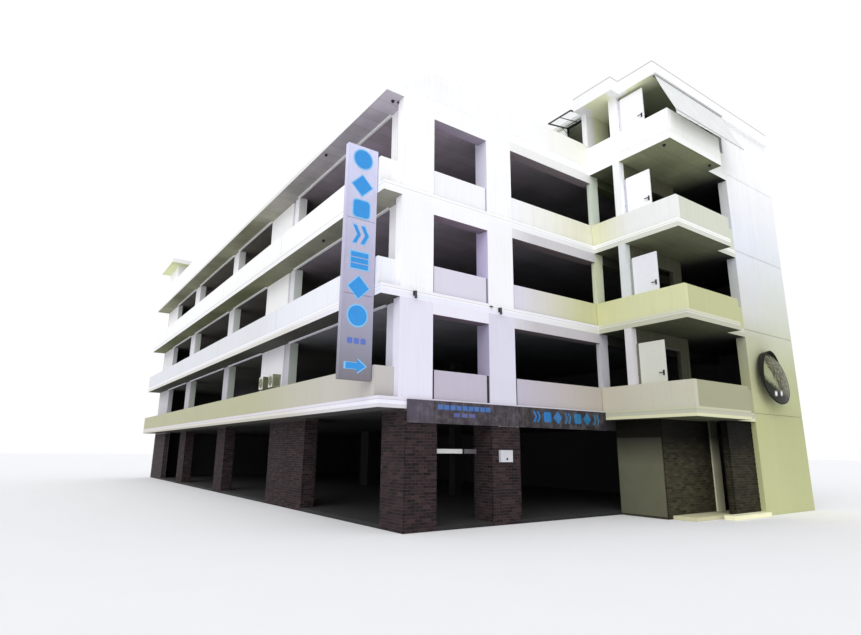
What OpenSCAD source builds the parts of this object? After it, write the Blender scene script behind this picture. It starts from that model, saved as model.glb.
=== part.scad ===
// Multi storey car park: four open storeys on a street corner, with a stair wing beside them.
// The origin is at ground level, at the street corner of the brick corner pier.
// X runs along the street front, Y runs back along the side street, Z is up.

/* [Storeys] */
// Height from one deck to the next
storey_h = 2755; // [2600:5:3400]
// Height from the top parking deck to the roof deck
top_storey_h = 2870; // [2600:10:3500]
// Underside of the first deck above the ground
first_soffit = 2840; // [2600:20:3600]
// Thickness of every deck
slab_t = 270; // [220:10:340]
// Height of the parapets above their deck
parapet_h = 740; // [600:20:1100]
// Height of the parapet above the roof deck
roof_parapet_h = 860; // [700:20:1200]
// Thickness of the parapets
parapet_t = 150; // [110:10:220]
// Drop of the front and rear edge beams below the decks
beam_drop = 310; // [200:10:450]
// Thickness of the ground slab
ground_t = 100; // [60:10:200]

/* [Main block] */
// Width from the street corner to the party wall
block_w = 15000; // [13500:100:18000]
// Depth from the street front to the rear
block_d = 31200; // [30000:100:36000]
// How far the decks stand out over the side street
overhang = 755; // [500:5:1200]
// Width of the white corner pier
corner_pier_w = 1010; // [900:10:1200]
// How far the corner pier stands out over the side street
corner_pier_out = 200; // [100:10:350]
// Width of the narrow front opening
narrow_opening_w = 1900; // [1700:50:2100]
// Width of the second front pier
front_pier_w = 970; // [850:10:1100]
// Width of the wide front opening
wide_opening_w = 3770; // [3600:10:3900]
// Width of the pillar at the inner corner
inner_pillar_w = 390; // [300:10:500]

/* [Stair wing] */
// How far the landings stand out from the street front
wing_out = 3050; // [2800:50:3600]
// How far the tall wall stands out from the street front
tall_wall_out = 2600; // [2400:50:2700]
// Width of the landings along the front
landing_w = 3000; // [2750:50:3200]
// Left edge of the tall wall
tall_wall_x = 11600; // [11400:50:12400]
// Height of the stair doors
door_h = 1990; // [1900:10:2030]
// Width of the stair doors
door_w = 850; // [750:10:900]
// Underside of the stair head's roof, above the roof deck
head_room = 2160; // [2160:10:2600]

/* [Hidden] */
$fn = 32;

// Storeys: 0 is the ground storey, 1 to 3 are the parking decks, 4 is the roof with the stair head
decks = 4;
function soffit(k) = first_soffit + min(k, 2) * storey_h + max(k - 2, 0) * top_storey_h;
function top_of(k) = soffit(k) + slab_t;
head_soffit = top_of(3) + head_room;
function floor_of(i) = top_of(i - 1);
function ceiling_of(i) = i < decks ? soffit(i) : head_soffit;
top_landing_drop = 100;
function parapet_of(i) = i < decks ? parapet_h : roof_parapet_h - top_landing_drop;

// Marks along the front
narrow_x = [corner_pier_w - corner_pier_out, corner_pier_w - corner_pier_out + narrow_opening_w];
pier_x = [narrow_x[1], narrow_x[1] + front_pier_w];
wide_x = [pier_x[1], pier_x[1] + wide_opening_w];
pillar_x = [wide_x[1], wide_x[1] + inner_pillar_w];
corner_plate_d = 290;
corner_pier_d = 950;
front_pier_d = 500;
pillar_d = 150;
beam_w = 360;

// Marks along the side street
column_d = 300;
column_y = [[7660, 8060], [15050, 15850], [22400, 23450]];
infill_y = [8220, 10570];
end_wall_y = 28200;
strip_w = 70;
strip_h = 50;
strip_y = [[corner_pier_d, column_y[0][0]], [infill_y[1], column_y[1][0]],
    [column_y[1][1], column_y[2][0]], [column_y[2][1], end_wall_y]];
wall_t = 250;
party_t = 250;
inside_x = block_w - party_t;
rear_y = block_d - wall_t;
parapet_end_y = 200;

// Marks of the brick ground storey
brick_corner = [950, 1050];
brick_front_x = [2750, 3760];
brick_front_d = 750;
brick_side_t = 450;
brick_side_y = [[5900, 9100], [14700, 16000], [22200, 23600]];
brick_end_y = 27800;

// Marks of the stair wing
wing_x = wide_x[1];
landing_end = wing_x + landing_w;
tall_wall_t = 300;
stair_wall_y = [-1200, -1050];
stair_pillar_y = [-1200, -950];
stair_pillar_x = [wing_x, wing_x + 240];
first_door_x = [stair_pillar_x[1], stair_pillar_x[1] + door_w];
second_door_x = [wing_x + 1600, wing_x + 2630];
last_pier_x = [second_door_x[1], second_door_x[1] + 490];
header_z = door_h + 60;
roof_sill = 60;
function sill_of(i) = floor_of(i) + (i < decks ? 0 : roof_sill);

// Marks of the stair head on the roof
head_x = wing_x + 680;
head_end_x = wing_x + 1250;
head_back_y = 2600;
head_split_y = 200;
head_front_y = -tall_wall_out - 100;
head_wall_t = 150;
head_roof_t = 500;
head_slab_t = 200;
rear_soffit = head_soffit + 440;
rear_slab_t = 160;
window_y = [330, 1450];
window_z = [rear_soffit - 1150, rear_soffit - 50];

module block(x, y, z) {
    translate([x[0], y[0], z[0]]) cube([x[1] - x[0], y[1] - y[0], z[1] - z[0]]);
}

// Ground slab, cut back around everything that stands on the ground
module ground_slab() {
    color("darkgray") difference() {
        union() {
            block([0, inside_x], [0, rear_y], [0, ground_t]);
            block([entrance_x + entrance_t, inside_x], [-tall_wall_out + tall_wall_t, 0], [0, ground_t]);
        }
        brick_piers();
        end_wall();
        rear_wall();
        entrance_walls();
        entrance_post();
    }
}

// Main decks, each a plain plate that stands out over the side street
module deck(k) {
    color("lightgray") block([-overhang, inside_x], [0, block_d], [soffit(k), top_of(k)]);
}
module parking_decks() {
    for (k = [0:2]) deck(k);
}
module roof_deck() {
    deck(3);
}

// Landings of the stair wing, stepped back beside the tall wall
module landings() {
    color("lightgray") for (k = [0:3]) translate([0, 0, soffit(k)]) linear_extrude(slab_t) polygon([
        [wing_x, 0], [wing_x, -wing_out], [landing_end, -wing_out], [landing_end, -tall_wall_out],
        [tall_wall_x, -tall_wall_out], [tall_wall_x, -tall_wall_out + tall_wall_t],
        [inside_x, -tall_wall_out + tall_wall_t], [inside_x, 0]]);
}

// Brick piers of the ground storey
module brick_piers() {
    color("#5a4a48") {
        block([0, brick_corner[0]], [0, brick_corner[1]], [0, soffit(0)]);
        block(brick_front_x, [0, brick_front_d], [0, soffit(0)]);
        for (y = brick_side_y) block([0, brick_side_t], y, [0, soffit(0)]);
    }
}

// White piers of the upper storeys
module corner_pier() {
    color("white") for (i = [1:3]) {
        block([-corner_pier_out, narrow_x[0]], [0, corner_plate_d], [floor_of(i), ceiling_of(i)]);
        block([0, narrow_x[0]], [corner_plate_d, corner_pier_d], [floor_of(i), ceiling_of(i)]);
    }
}
module front_pier() {
    color("white") for (i = [1:3])
        block(pier_x, [0, front_pier_d], [floor_of(i), ceiling_of(i)]);
}
module left_columns() {
    color("white") for (i = [1:3], y = column_y)
        block([0, column_d], y, [floor_of(i), ceiling_of(i)]);
}

// Columns inside, in line with the inner pillar and the side street's columns
module inner_columns() {
    color("lightgray") for (i = [0:3], y = column_y)
        block(pillar_x, y, [i == 0 ? ground_t : floor_of(i), i == 0 ? soffit(0) : ceiling_of(i)]);
}

// Edge beams under the decks at the front and rear, and thin strips over the side street's openings
module edge_beams() {
    color("white") {
        block([brick_corner[0], brick_front_x[0]], [0, beam_w], [soffit(0) - beam_drop, soffit(0)]);
        block([brick_front_x[1], inside_x], [0, beam_w], [soffit(0) - beam_drop, soffit(0)]);
        for (k = [1:3]) {
            z = [soffit(k) - beam_drop, soffit(k)];
            for (x = [narrow_x, wide_x, [pillar_x[1], inside_x]]) block(x, [0, beam_w], z);
            block(pillar_x, [pillar_d, beam_w], z);
            for (x = rear_open_x) block(x, [block_d - beam_w, block_d], z);
            for (y = strip_y) block([-strip_w, 0], y, [soffit(k) - strip_h, soffit(k)]);
        }
    }
}

// Solid infill beside the first side column
module left_infill_panels() {
    color("white") for (i = [1:3])
        block([0, parapet_t], infill_y, [floor_of(i), ceiling_of(i)]);
}

// Solid end of the side street front
module end_wall() {
    color("white") {
        block([0, wall_t], [brick_end_y, rear_y], [0, soffit(0)]);
        for (i = [1:3]) block([0, wall_t], [end_wall_y, rear_y], [floor_of(i), ceiling_of(i)]);
    }
}

// Rear wall: solid on the ground storey, above it solid behind the rear stair, then openings and a pier
rear_solid_x = [0, 5000];
rear_pier_x = [9500, 10200];
rear_open_x = [[rear_solid_x[1], rear_pier_x[0]], [rear_pier_x[1], inside_x]];
module rear_wall() {
    color("white") {
        block([0, inside_x], [rear_y, block_d], [0, soffit(0)]);
        for (i = [1:3], x = [rear_solid_x, rear_pier_x])
            block(x, [rear_y, block_d], [floor_of(i), ceiling_of(i)]);
    }
}
module rear_parapets() {
    color("ivory") for (i = [1:3], x = rear_open_x)
        block(x, [block_d - parapet_t, block_d], [floor_of(i), floor_of(i) + parapet_h]);
}

// Plain wall against the neighbouring plot
module party_wall() {
    y = [-tall_wall_out + tall_wall_t, block_d];
    color("white") block([inside_x, block_w], y, [0, top_of(3) + roof_parapet_h]);
}

// Parapet panels in the front openings, set back a little with a gap at each side
module front_parapets() {
    set_back = 40;
    gap = 20;
    color("ivory") for (i = [1:3], x = [narrow_x, wide_x])
        block([x[0] + gap, x[1] - gap], [set_back, set_back + parapet_t],
            [floor_of(i), floor_of(i) + parapet_h]);
}

// Parapets over the side street and their short returns
module left_parapets() {
    color("ivory") for (i = [1:3])
        block([-overhang, -overhang + parapet_t], [parapet_end_y, block_d],
            [floor_of(i), floor_of(i) + parapet_h]);
}
module parapet_ends() {
    color("ivory") for (i = [1:3]) {
        z = [floor_of(i), floor_of(i) + parapet_h];
        block([-overhang + parapet_t, -corner_pier_out], [parapet_end_y, parapet_end_y + parapet_t], z);
        block([-overhang + parapet_t, 0], [block_d - parapet_t, block_d], z);
    }
}

// Parapets around the roof deck
module roof_parapets() {
    z = [top_of(3), top_of(3) + roof_parapet_h];
    color("white") {
        block([-overhang, pillar_x[0]], [0, parapet_t], z);
        block([-overhang, -overhang + parapet_t], [parapet_t, block_d - parapet_t], z);
        block([-overhang, inside_x], [block_d - parapet_t, block_d], z);
    }
}

// Parapets of the landings
module landing_side_parapets() {
    color("ivory") for (i = [1:4])
        block([wing_x, wing_x + parapet_t], [-wing_out, 0], [floor_of(i), floor_of(i) + parapet_of(i)]);
}
module landing_front_parapets() {
    color("ivory") for (i = [1:4])
        translate([0, 0, floor_of(i)]) linear_extrude(parapet_of(i)) polygon([
            [wing_x + parapet_t, -wing_out], [landing_end, -wing_out], [landing_end, -tall_wall_out],
            [tall_wall_x, -tall_wall_out], [tall_wall_x, -tall_wall_out + parapet_t],
            [landing_end - parapet_t, -tall_wall_out + parapet_t],
            [landing_end - parapet_t, -wing_out + parapet_t],
            [wing_x + parapet_t, -wing_out + parapet_t]]);
}

// Tall plain wall with a joint groove at every deck
module tall_wall() {
    groove = 20;
    color("white") difference() {
        block([tall_wall_x, block_w], [-tall_wall_out, -tall_wall_out + tall_wall_t], [0, head_soffit]);
        for (k = [0:3])
            block([tall_wall_x - 1, block_w + 1], [-tall_wall_out - 1, -tall_wall_out + groove],
                [top_of(k) - groove / 2, top_of(k) + groove / 2]);
    }
}

// Pillars at the inner corner and beside the stair doors
module inner_pillars() {
    color("ivory") for (i = [1:4])
        block(pillar_x, [0, pillar_d], [floor_of(i), ceiling_of(i)]);
}
module stair_pillars() {
    color("ivory") for (i = [1:4]) {
        block([wing_x + parapet_t, stair_pillar_x[1]], stair_pillar_y, [floor_of(i), ceiling_of(i)]);
        block(stair_pillar_x, stair_pillar_y, [floor_of(i) + parapet_of(i), ceiling_of(i)]);
    }
}

// Wall behind the landings: two piers and the headers over two doorways
module stair_piers() {
    color("darkkhaki") for (i = [1:4], x = [[first_door_x[1], second_door_x[0]], last_pier_x])
        block(x, stair_wall_y, [floor_of(i), ceiling_of(i)]);
}
module stair_headers() {
    color("darkkhaki") for (i = [1:4], x = [first_door_x, second_door_x])
        block(x, stair_wall_y, [sill_of(i) + header_z, ceiling_of(i)]);
}

// Stair doors: four stand open along the landings' parapets, two are shut in the roof's stair heads
door_t = 45;
door_gap = 10;
hinge_gap = 90;
door_x = wing_x + parapet_t + 35;
door_y = [stair_pillar_y[0] - hinge_gap - door_w, stair_pillar_y[0] - hinge_gap];
roof_door_x = [11000, 11900];
rear_door_x = [2000, 2900];
module stair_doors() {
    roof_z = [top_of(3), top_of(3) + door_h];
    color("whitesmoke") {
        for (i = [1:4])
            block([door_x, door_x + door_t], door_y,
                [sill_of(i) + door_gap, sill_of(i) + door_gap + door_h]);
        for (door = [[roof_door_x, head_back_y - head_wall_t + 50], [rear_door_x, rear_head_y[0] + 50]])
            block(door[0], [door[1], door[1] + door_t], roof_z);
    }
}

// Hinges at the pillar, and a lock plate with a lever near the free edge of each open door
module door_fittings() {
    hinge_h = 110;
    plate = [8, 50, 230];
    spindle_d = 18;
    lever = [15, 130, 18];
    color("dimgray") for (i = [1:4]) {
        for (z = [200, door_h / 2, door_h - 200 - hinge_h])
            block([door_x + 5, door_x + door_t - 5], [door_y[1], stair_pillar_y[0]],
                [sill_of(i) + z, sill_of(i) + z + hinge_h]);
        translate([door_x + door_t, door_y[0] + 105, sill_of(i) + 1050]) {
            translate([0, -plate[1] / 2, -plate[2] / 2]) cube(plate);
            rotate([0, 90, 0]) cylinder(d = spindle_d, h = 55);
            translate([40, -lever[2] / 2, -lever[2] / 2]) cube(lever);
        }
    }
}

// Stair head on the roof
module stair_head_walls() {
    z = [top_of(3), head_soffit];
    rear_z = [top_of(3), rear_soffit];
    return_w = 250;
    color("white") difference() {
        union() {
            block([pillar_x[1], head_end_x], [0, head_wall_t], z);
            block([pillar_x[0], pillar_x[0] + return_w], [pillar_d, head_split_y], z);
            block([head_x, head_x + head_wall_t], [head_wall_t, head_split_y], z);
            block([head_x, head_x + head_wall_t], [head_split_y, head_back_y], rear_z);
            block([head_x, inside_x], [head_back_y - head_wall_t, head_back_y], rear_z);
            block([inside_x, block_w], [-tall_wall_out + tall_wall_t, head_split_y],
                [z[0] + roof_parapet_h, z[1]]);
            block([inside_x, block_w], [head_split_y, head_back_y],
                [z[0] + roof_parapet_h, rear_soffit]);
        }
        block([head_x - 1, head_x + head_wall_t + 1], window_y, window_z);
        block(roof_door_x, [head_back_y - head_wall_t - 1, head_back_y + 1], [z[0] - 1, z[0] + door_h]);
    }
}
module stair_head_roof() {
    kerb_t = 150;
    front_x = wing_x;
    back_x = wing_x - 420;
    step_y = -1395;
    rear_eave = 80;
    outline = [[front_x, head_front_y], [block_w, head_front_y], [block_w, head_split_y],
        [back_x, head_split_y], [back_x, step_y], [front_x, step_y]];
    inner = [[front_x + kerb_t, head_front_y + kerb_t], [block_w - kerb_t, head_front_y + kerb_t],
        [block_w - kerb_t, head_split_y - kerb_t], [back_x + kerb_t, head_split_y - kerb_t],
        [back_x + kerb_t, step_y + kerb_t], [front_x + kerb_t, step_y + kerb_t]];
    color("white") union() {
        translate([0, 0, head_soffit]) difference() {
            linear_extrude(head_roof_t) polygon(outline);
            translate([0, 0, head_slab_t]) linear_extrude(head_roof_t) polygon(inner);
        }
        block([head_x - rear_eave, block_w], [head_split_y, head_back_y + rear_eave],
            [rear_soffit, rear_soffit + rear_slab_t]);
    }
}

// Window of the stair head: a fixed frame and a top hung sash, standing open
frame_t = 50;
sash_angle = 10;
module window_frame() {
    color("#33383a") difference() {
        block([head_x + 20, head_x + 80], window_y, window_z);
        block([head_x, head_x + 100], [window_y[0] + frame_t, window_y[1] - frame_t],
            [window_z[0] + frame_t, window_z[1] - frame_t]);
    }
}
module open_sash() {
    sash_w = window_y[1] - window_y[0] - 20;
    sash_h = window_z[1] - window_z[0] - 10;
    glass_t = 8;
    sash_t = 40;
    pane = [sash_h - 2 * frame_t, sash_w - 2 * frame_t, sash_t];
    color("#33383a") union() {
        translate([head_x, window_y[0] + 10, window_z[1] - 60])
            rotate([0, -sash_angle, 0]) mirror([1, 0, 0]) difference() {
                cube([sash_h, sash_w, sash_t]);
                for (z = [(sash_t + glass_t) / 2, -(sash_t + glass_t) / 2])
                    translate([frame_t, frame_t, z]) cube(pane);
            }
        for (y = [window_y[0] + 120, window_y[1] - 180])
            block([head_x - 20, head_x + 20], [y, y + 60], [window_z[1] - 50, window_z[1] - 30]);
    }
}

// Awning over the top landing's street side
awning_x = [wing_x, tall_wall_x - 100];
awning_top = [-tall_wall_out - 140, head_soffit - 60];
awning_low = [-wing_out - 290, head_soffit - 1600];
awning_t = 12;
module awning() {
    color("white") translate([awning_x[0], 0, 0]) rotate([90, 0, 90])
        linear_extrude(awning_x[1] - awning_x[0]) polygon([
            awning_top, awning_low, [awning_low[0] - awning_t, awning_low[1]],
            [awning_top[0] - awning_t, awning_top[1]]]);
}
module awning_rails() {
    rail = 40;
    color("silver") {
        translate([awning_x[0], awning_low[0] - awning_t / 2, awning_low[1] - rail / 2])
            rotate([0, 90, 0]) cylinder(d = rail, h = awning_x[1] - awning_x[0]);
        block(awning_x, [awning_top[0] - rail, head_front_y + rail], [awning_top[1], head_soffit]);
    }
}

// Stair head at the far end of the roof
rear_head_x = [-250, 4800];
rear_head_y = [block_d - 2900, block_d - 300];
rear_head_h = 2510;
module rear_stair_walls() {
    t = 200;
    z = [top_of(3), top_of(3) + rear_head_h];
    color("white") difference() {
        block(rear_head_x, rear_head_y, z);
        block([rear_head_x[0] + t, rear_head_x[1] - t], [rear_head_y[0] + t, rear_head_y[1] - t],
            [z[0] - 1, z[1] + 1]);
        block(rear_door_x, [rear_head_y[0] - 1, rear_head_y[0] + t + 1], [z[0] - 1, z[0] + door_h]);
    }
}
module rear_stair_roof() {
    x = [rear_head_x[0] - 550, rear_head_x[1] + 400];
    z = top_of(3) + rear_head_h;
    color("white") block(x, [rear_head_y[0] - 600, block_d], [z, z + 250]);
}

// Ground storey of the stair wing
entrance_x = wing_x + 550;
entrance_y = -1600;
entrance_t = 200;
passage_wall_x = [wing_x + 2650, tall_wall_x];
passage_wall_y = [-2450, -2250];
post_x = [wing_x + 3110, wing_x + 3560];
step_x = [wing_x + 1950, tall_wall_x];
module entrance_walls() {
    color("#54483f") {
        block([entrance_x, entrance_x + entrance_t], [entrance_y, 0], [0, soffit(0)]);
        block([entrance_x + entrance_t, post_x[0]], [entrance_y, entrance_y + entrance_t], [0, soffit(0)]);
        block(passage_wall_x, passage_wall_y, [0, soffit(0)]);
    }
}
module entrance_panel() {
    color("#8a8a6c") block([entrance_x - 40, entrance_x], [entrance_y + 40, -30], [60, 2300]);
}
module entrance_post() {
    color("#b0ab90") block(post_x, [entrance_y - 50, entrance_y + entrance_t + 50], [0, soffit(0)]);
}
module entrance_step() {
    color("lightgray") block(step_x, [-2750, passage_wall_y[0]], [0, 120]);
}

// Tall sign board on the side parapets, with its brackets
sign_x = [-1640, -780];
sign_y = [300, 450];
sign_z = [3460, 9500];
module sign_board() {
    color("lavender") block(sign_x, sign_y, sign_z);
}
module sign_brackets() {
    size = 60;
    middle = (sign_y[0] + sign_y[1]) / 2;
    color("dimgray") for (i = [1:3]) for (z = [150, parapet_h - size])
        if (floor_of(i) + z > sign_z[0] && floor_of(i) + z + size < sign_z[1])
            block([sign_x[1], -overhang], [middle - size / 2, middle + size / 2],
                [floor_of(i) + z, floor_of(i) + z + size]);
}

// Board along the front over the ground storey
module fascia_board() {
    color("#665c6c") block([50, wing_x], [-60, 0], [soffit(0) - 330, top_of(0) - 40]);
}

// Height bar across the narrow opening, and the notice box on the brick pier
module height_bar() {
    color("white") block([brick_corner[0], brick_front_x[0]], [630, 690], [1790, 1910]);
}
module notice_box() {
    color("white") block([3060, 3490], [-90, 0], [1580, 1890]);
}

// Downpipes: a thin one behind the corner pier's front plate, another beside the first side column
module downpipes() {
    corner_d = 50;
    recess_d = 100;
    color("whitesmoke") for (i = [1:3]) {
        h = ceiling_of(i) - floor_of(i);
        translate([-corner_pier_out + 35, corner_plate_d + corner_d / 2, floor_of(i)])
            cylinder(d = corner_d, h = h);
        translate([column_d / 3, (column_y[0][1] + infill_y[0]) / 2, floor_of(i)])
            cylinder(d = recess_d, h = h);
    }
}

// Cooling units on the infill panel of the first parking deck
module cooling_units() {
    unit = [320, 430];
    color("gainsboro") for (y = [8370, 9380])
        block([-unit[0], 0], [y, y + unit[1]], [floor_of(1) + 910, floor_of(1) + 1410]);
}

// Round traffic mirror on the tall wall
module traffic_mirror() {
    arm = 200;
    shell = [1790, 140];
    color("#26282a") translate([tall_wall_x + 1170, -tall_wall_out, 4310]) {
        rotate([90, 0, 0]) cylinder(d = 60, h = arm);
        translate([0, -arm + 20, 0]) rotate([80, 0, 0]) cylinder(d = shell[0], h = shell[1]);
    }
}

// Small lamps on the front piers
module wall_lamps() {
    lamp = [90, 140, 230];
    below_top = 65;
    color("dimgray") for (x = [170, 3050])
        block([x, x + lamp[0]], [-lamp[1], 0], [top_of(1) - below_top - lamp[2], top_of(1) - below_top]);
}

ground_slab();
parking_decks();
roof_deck();
landings();
brick_piers();
corner_pier();
front_pier();
edge_beams();
left_columns();
inner_columns();
left_infill_panels();
end_wall();
rear_wall();
party_wall();
front_parapets();
left_parapets();
parapet_ends();
rear_parapets();
roof_parapets();
landing_side_parapets();
landing_front_parapets();
tall_wall();
inner_pillars();
stair_pillars();
stair_piers();
stair_headers();
stair_doors();
door_fittings();
stair_head_walls();
stair_head_roof();
window_frame();
open_sash();
awning();
awning_rails();
rear_stair_walls();
rear_stair_roof();
entrance_walls();
entrance_panel();
entrance_post();
entrance_step();
sign_board();
sign_brackets();
fascia_board();
height_bar();
notice_box();
downpipes();
cooling_units();
traffic_mirror();
wall_lamps();
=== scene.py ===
import math
import random

import bmesh
import bpy
import numpy as np
from mathutils import Matrix, Vector


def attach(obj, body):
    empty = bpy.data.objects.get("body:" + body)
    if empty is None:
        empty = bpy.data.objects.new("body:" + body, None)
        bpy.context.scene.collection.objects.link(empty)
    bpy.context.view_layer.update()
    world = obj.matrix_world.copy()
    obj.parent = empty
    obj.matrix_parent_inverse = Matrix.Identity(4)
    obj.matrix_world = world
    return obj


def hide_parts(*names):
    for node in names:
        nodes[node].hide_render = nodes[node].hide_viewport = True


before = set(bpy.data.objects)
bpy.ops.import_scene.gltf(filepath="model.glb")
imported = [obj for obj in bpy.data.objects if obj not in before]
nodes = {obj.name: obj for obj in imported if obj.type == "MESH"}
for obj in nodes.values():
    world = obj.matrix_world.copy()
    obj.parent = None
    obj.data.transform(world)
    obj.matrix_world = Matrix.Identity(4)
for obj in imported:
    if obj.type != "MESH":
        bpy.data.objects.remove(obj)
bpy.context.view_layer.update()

scene = bpy.context.scene
tree = None  # the node tree that is open for work

# Node helpers: each adds a node to the open tree and gives back its output


class Wire:
    # an output that can be added, multiplied and compared
    def __init__(self, socket):
        self.socket = socket

    def __add__(self, other):
        return calc("ADD", self, other)

    def __sub__(self, other):
        return calc("SUBTRACT", self, other)

    def __mul__(self, other):
        return calc("MULTIPLY", self, other)

    def __gt__(self, other):
        return calc("GREATER_THAN", self, other)

    def __lt__(self, other):
        return calc("LESS_THAN", self, other)


def openTree(owner):
    global tree
    owner.use_nodes = True
    tree = owner.node_tree
    tree.nodes.clear()


def plug(value, socket):
    if isinstance(value, Wire):
        tree.links.new(value.socket, socket)
    elif socket.type == "RGBA":
        socket.default_value = (*value, 1)
    else:
        socket.default_value = value


def node(kind, inputs, out=0, **settings):
    made = tree.nodes.new("ShaderNode" + kind)
    for key, value in settings.items():
        setattr(made, key, value)
    for key, value in inputs.items():
        plug(value, made.inputs[key])
    return Wire(made.outputs[out])


def tone(*rgb):
    # a colour as it is seen, 0 to 255, made into the light it reflects; a single number is a grey
    rgb = rgb[0] if isinstance(rgb[0], tuple) else rgb
    rgb = rgb * 3 if len(rgb) == 1 else rgb
    return tuple(((v / 255 + 0.055) / 1.055) ** 2.4 if v > 10 else v / 255 / 12.92 for v in rgb)


def fade(colour, share):
    return tuple(v * share for v in colour)


def objectPoint(*scale):
    return node("Mapping", {"Vector": node("TexCoord", {}, "Object"), "Scale": scale or (1, 1, 1)})


def axisOf(axis):
    return node("SeparateXYZ", {0: node("TexCoord", {}, "Object")}, axis)


def facing(axis):
    return node("SeparateXYZ", {0: node("NewGeometry", {}, "True Normal")}, axis)


def noise(point, scale, detail=3.0, rough=0.5, distort=0.0):
    return node("TexNoise", {"Vector": point, "Scale": scale, "Detail": detail, "Roughness": rough,
                             "Distortion": distort}, "Fac")


def calc(operation, a, b=0.0):
    return node("Math", {0: a, 1: b}, operation=operation)


def band(value, low, high, toLow=0.0, toHigh=1.0):
    return node("MapRange", {"Value": value, "From Min": low, "From Max": high,
                             "To Min": toLow, "To Max": toHigh})


def near(value, centre, reach):
    # 1 on a line, fading to 0 at its reach
    return band(calc("ABSOLUTE", value - centre), reach * 0.4, reach, 1, 0)


def blend(factor, a, b, mode="MIX"):
    return node("Mix", {0: factor, 6: a, 7: b}, 2, data_type="RGBA", blend_type=mode)


def ramp(value, stops, mode="LINEAR"):
    made = tree.nodes.new("ShaderNodeValToRGB")
    made.color_ramp.interpolation = mode
    points = made.color_ramp.elements
    for point, (place, colour) in zip(points, (stops[0], stops[-1])):
        point.position = place
        point.color = (*colour, 1)
    for place, colour in stops[1:-1]:
        points.new(place).color = (*colour, 1)
    plug(value, made.inputs[0])
    return Wire(made.outputs[0])


def bump(height, strength, distance, *under):
    # under: an earlier bump that this one lies on
    inputs = {"Strength": strength, "Distance": distance, "Height": height}
    return node("Bump", {**inputs, **{"Normal": normal for normal in under}})


def startMaterial(name):
    mat = bpy.data.materials.new(name)
    openTree(mat)
    return mat


def surface(mat, colour, rough, normal=None, **more):
    # closes a material; more holds further inputs of its shader
    names = {"metallic": "Metallic", "shine": "Specular IOR Level", "sheen": "Sheen Weight",
             "clear": "Transmission Weight", "ior": "IOR"}
    inputs = {"Base Color": colour, "Roughness": rough, **{names[key]: value for key, value in more.items()}}
    if normal:
        inputs["Normal"] = normal
    shader = node("BsdfPrincipled", inputs)
    plug(shader, tree.nodes.new("ShaderNodeOutputMaterial").inputs[0])
    return mat


# Stage: camera, light, floor

cameraSetup = {
    "place": (-7.409, -11.521, 1.848),
    "yaw": 35.24,  # degrees from the side street's direction towards the front's
    "pitch": 13.30,
    "roll": 0.49,
    "lens": 23.63,
    "sensor": 36.0,
}
lightSetup = {
    "sky": (0.96, 0.97, 1.0),
    "skyStrength": 0.72,
    "sunEnergy": 1.5,
    "sunAngle": 60.0,
    "sunFrom": (-0.95, -0.72, 0.95),
}
floorSetup = {
    "size": 400,
    "place": (7, 15, -0.004),
    "colour": (0.93, 0.93, 0.94),
    "spots": (0.85, 0.85, 0.85),
}


def placeCamera(s):
    data = bpy.data.cameras.new("photoCamera")
    data.sensor_fit = "HORIZONTAL"
    data.sensor_width = s["sensor"]
    data.lens = s["lens"]
    data.clip_end = 500
    cam = bpy.data.objects.new("photoCamera", data)
    scene.collection.objects.link(cam)
    turn = Matrix.Rotation(-math.radians(s["yaw"]), 4, "Z")
    tilt = Matrix.Rotation(math.radians(90 + s["pitch"]), 4, "X")
    roll = Matrix.Rotation(math.radians(s["roll"]), 4, "Z")
    cam.matrix_world = Matrix.Translation(s["place"]) @ turn @ tilt @ roll
    scene.camera = cam
    scene.view_settings.view_transform = "Standard"


def lightStage(s):
    scene.world = bpy.data.worlds.new("studio")
    openTree(scene.world)
    sky = node("Background", {"Color": s["sky"], "Strength": s["skyStrength"]})
    white = node("Background", {"Color": (1, 1, 1)})
    seen = node("LightPath", {}, "Is Camera Ray")
    for kind in ("Is Glossy Ray", "Is Transmission Ray"):
        seen = calc("MAXIMUM", seen, node("LightPath", {}, kind))
    mix = node("MixShader", {0: seen, 1: sky, 2: white})
    plug(mix, tree.nodes.new("ShaderNodeOutputWorld").inputs[0])
    sun = bpy.data.lights.new("softSun", "SUN")
    sun.energy = s["sunEnergy"]
    sun.angle = math.radians(s["sunAngle"])
    lamp = bpy.data.objects.new("softSun", sun)
    lamp.rotation_euler = Vector(s["sunFrom"]).to_track_quat("Z", "Y").to_euler()
    scene.collection.objects.link(lamp)


def layFloor(s):
    mat = startMaterial("studio_floor")
    spots = band(noise(objectPoint(), 0.7, 2), 0.3, 0.7, 0, 0.1)
    surface(mat, blend(spots, s["colour"], s["spots"]), 0.9)
    bpy.ops.mesh.primitive_plane_add(size=s["size"], location=s["place"])
    floor = bpy.context.active_object
    floor.name = "studio_floor"
    floor.data.materials.append(mat)


placeCamera(cameraSetup)
lightStage(lightSetup)
layFloor(floorSetup)
print("stage ready")

# Levels of the building, in metres

levels = {
    "tops": (3.11, 5.865, 8.62, 11.49),
    "soffits": (2.84, 5.595, 8.35, 11.22),
    "crown": 14.15,
    "strip": 0.08,  # the darker strip on a slab edge, down from the deck
    "paintChanges": (0.0, 2.9, 5.70, 8.45, 11.35),
    "full": 15.0,
}


def storeyHeights():
    # height over the deck below, and depth under the deck above
    z = axisOf(2)
    floorZ, ceilingZ = 0.0, levels["tops"][0]
    marks = (0.0, *levels["tops"], levels["crown"])
    for i, top in enumerate(levels["tops"], 1):
        passed = z > top - 0.0005
        floorZ = passed * (marks[i] - marks[i - 1]) + floorZ
        ceilingZ = passed * (marks[i + 1] - marks[i]) + ceilingZ
    return z - floorZ, ceilingZ - z


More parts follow.
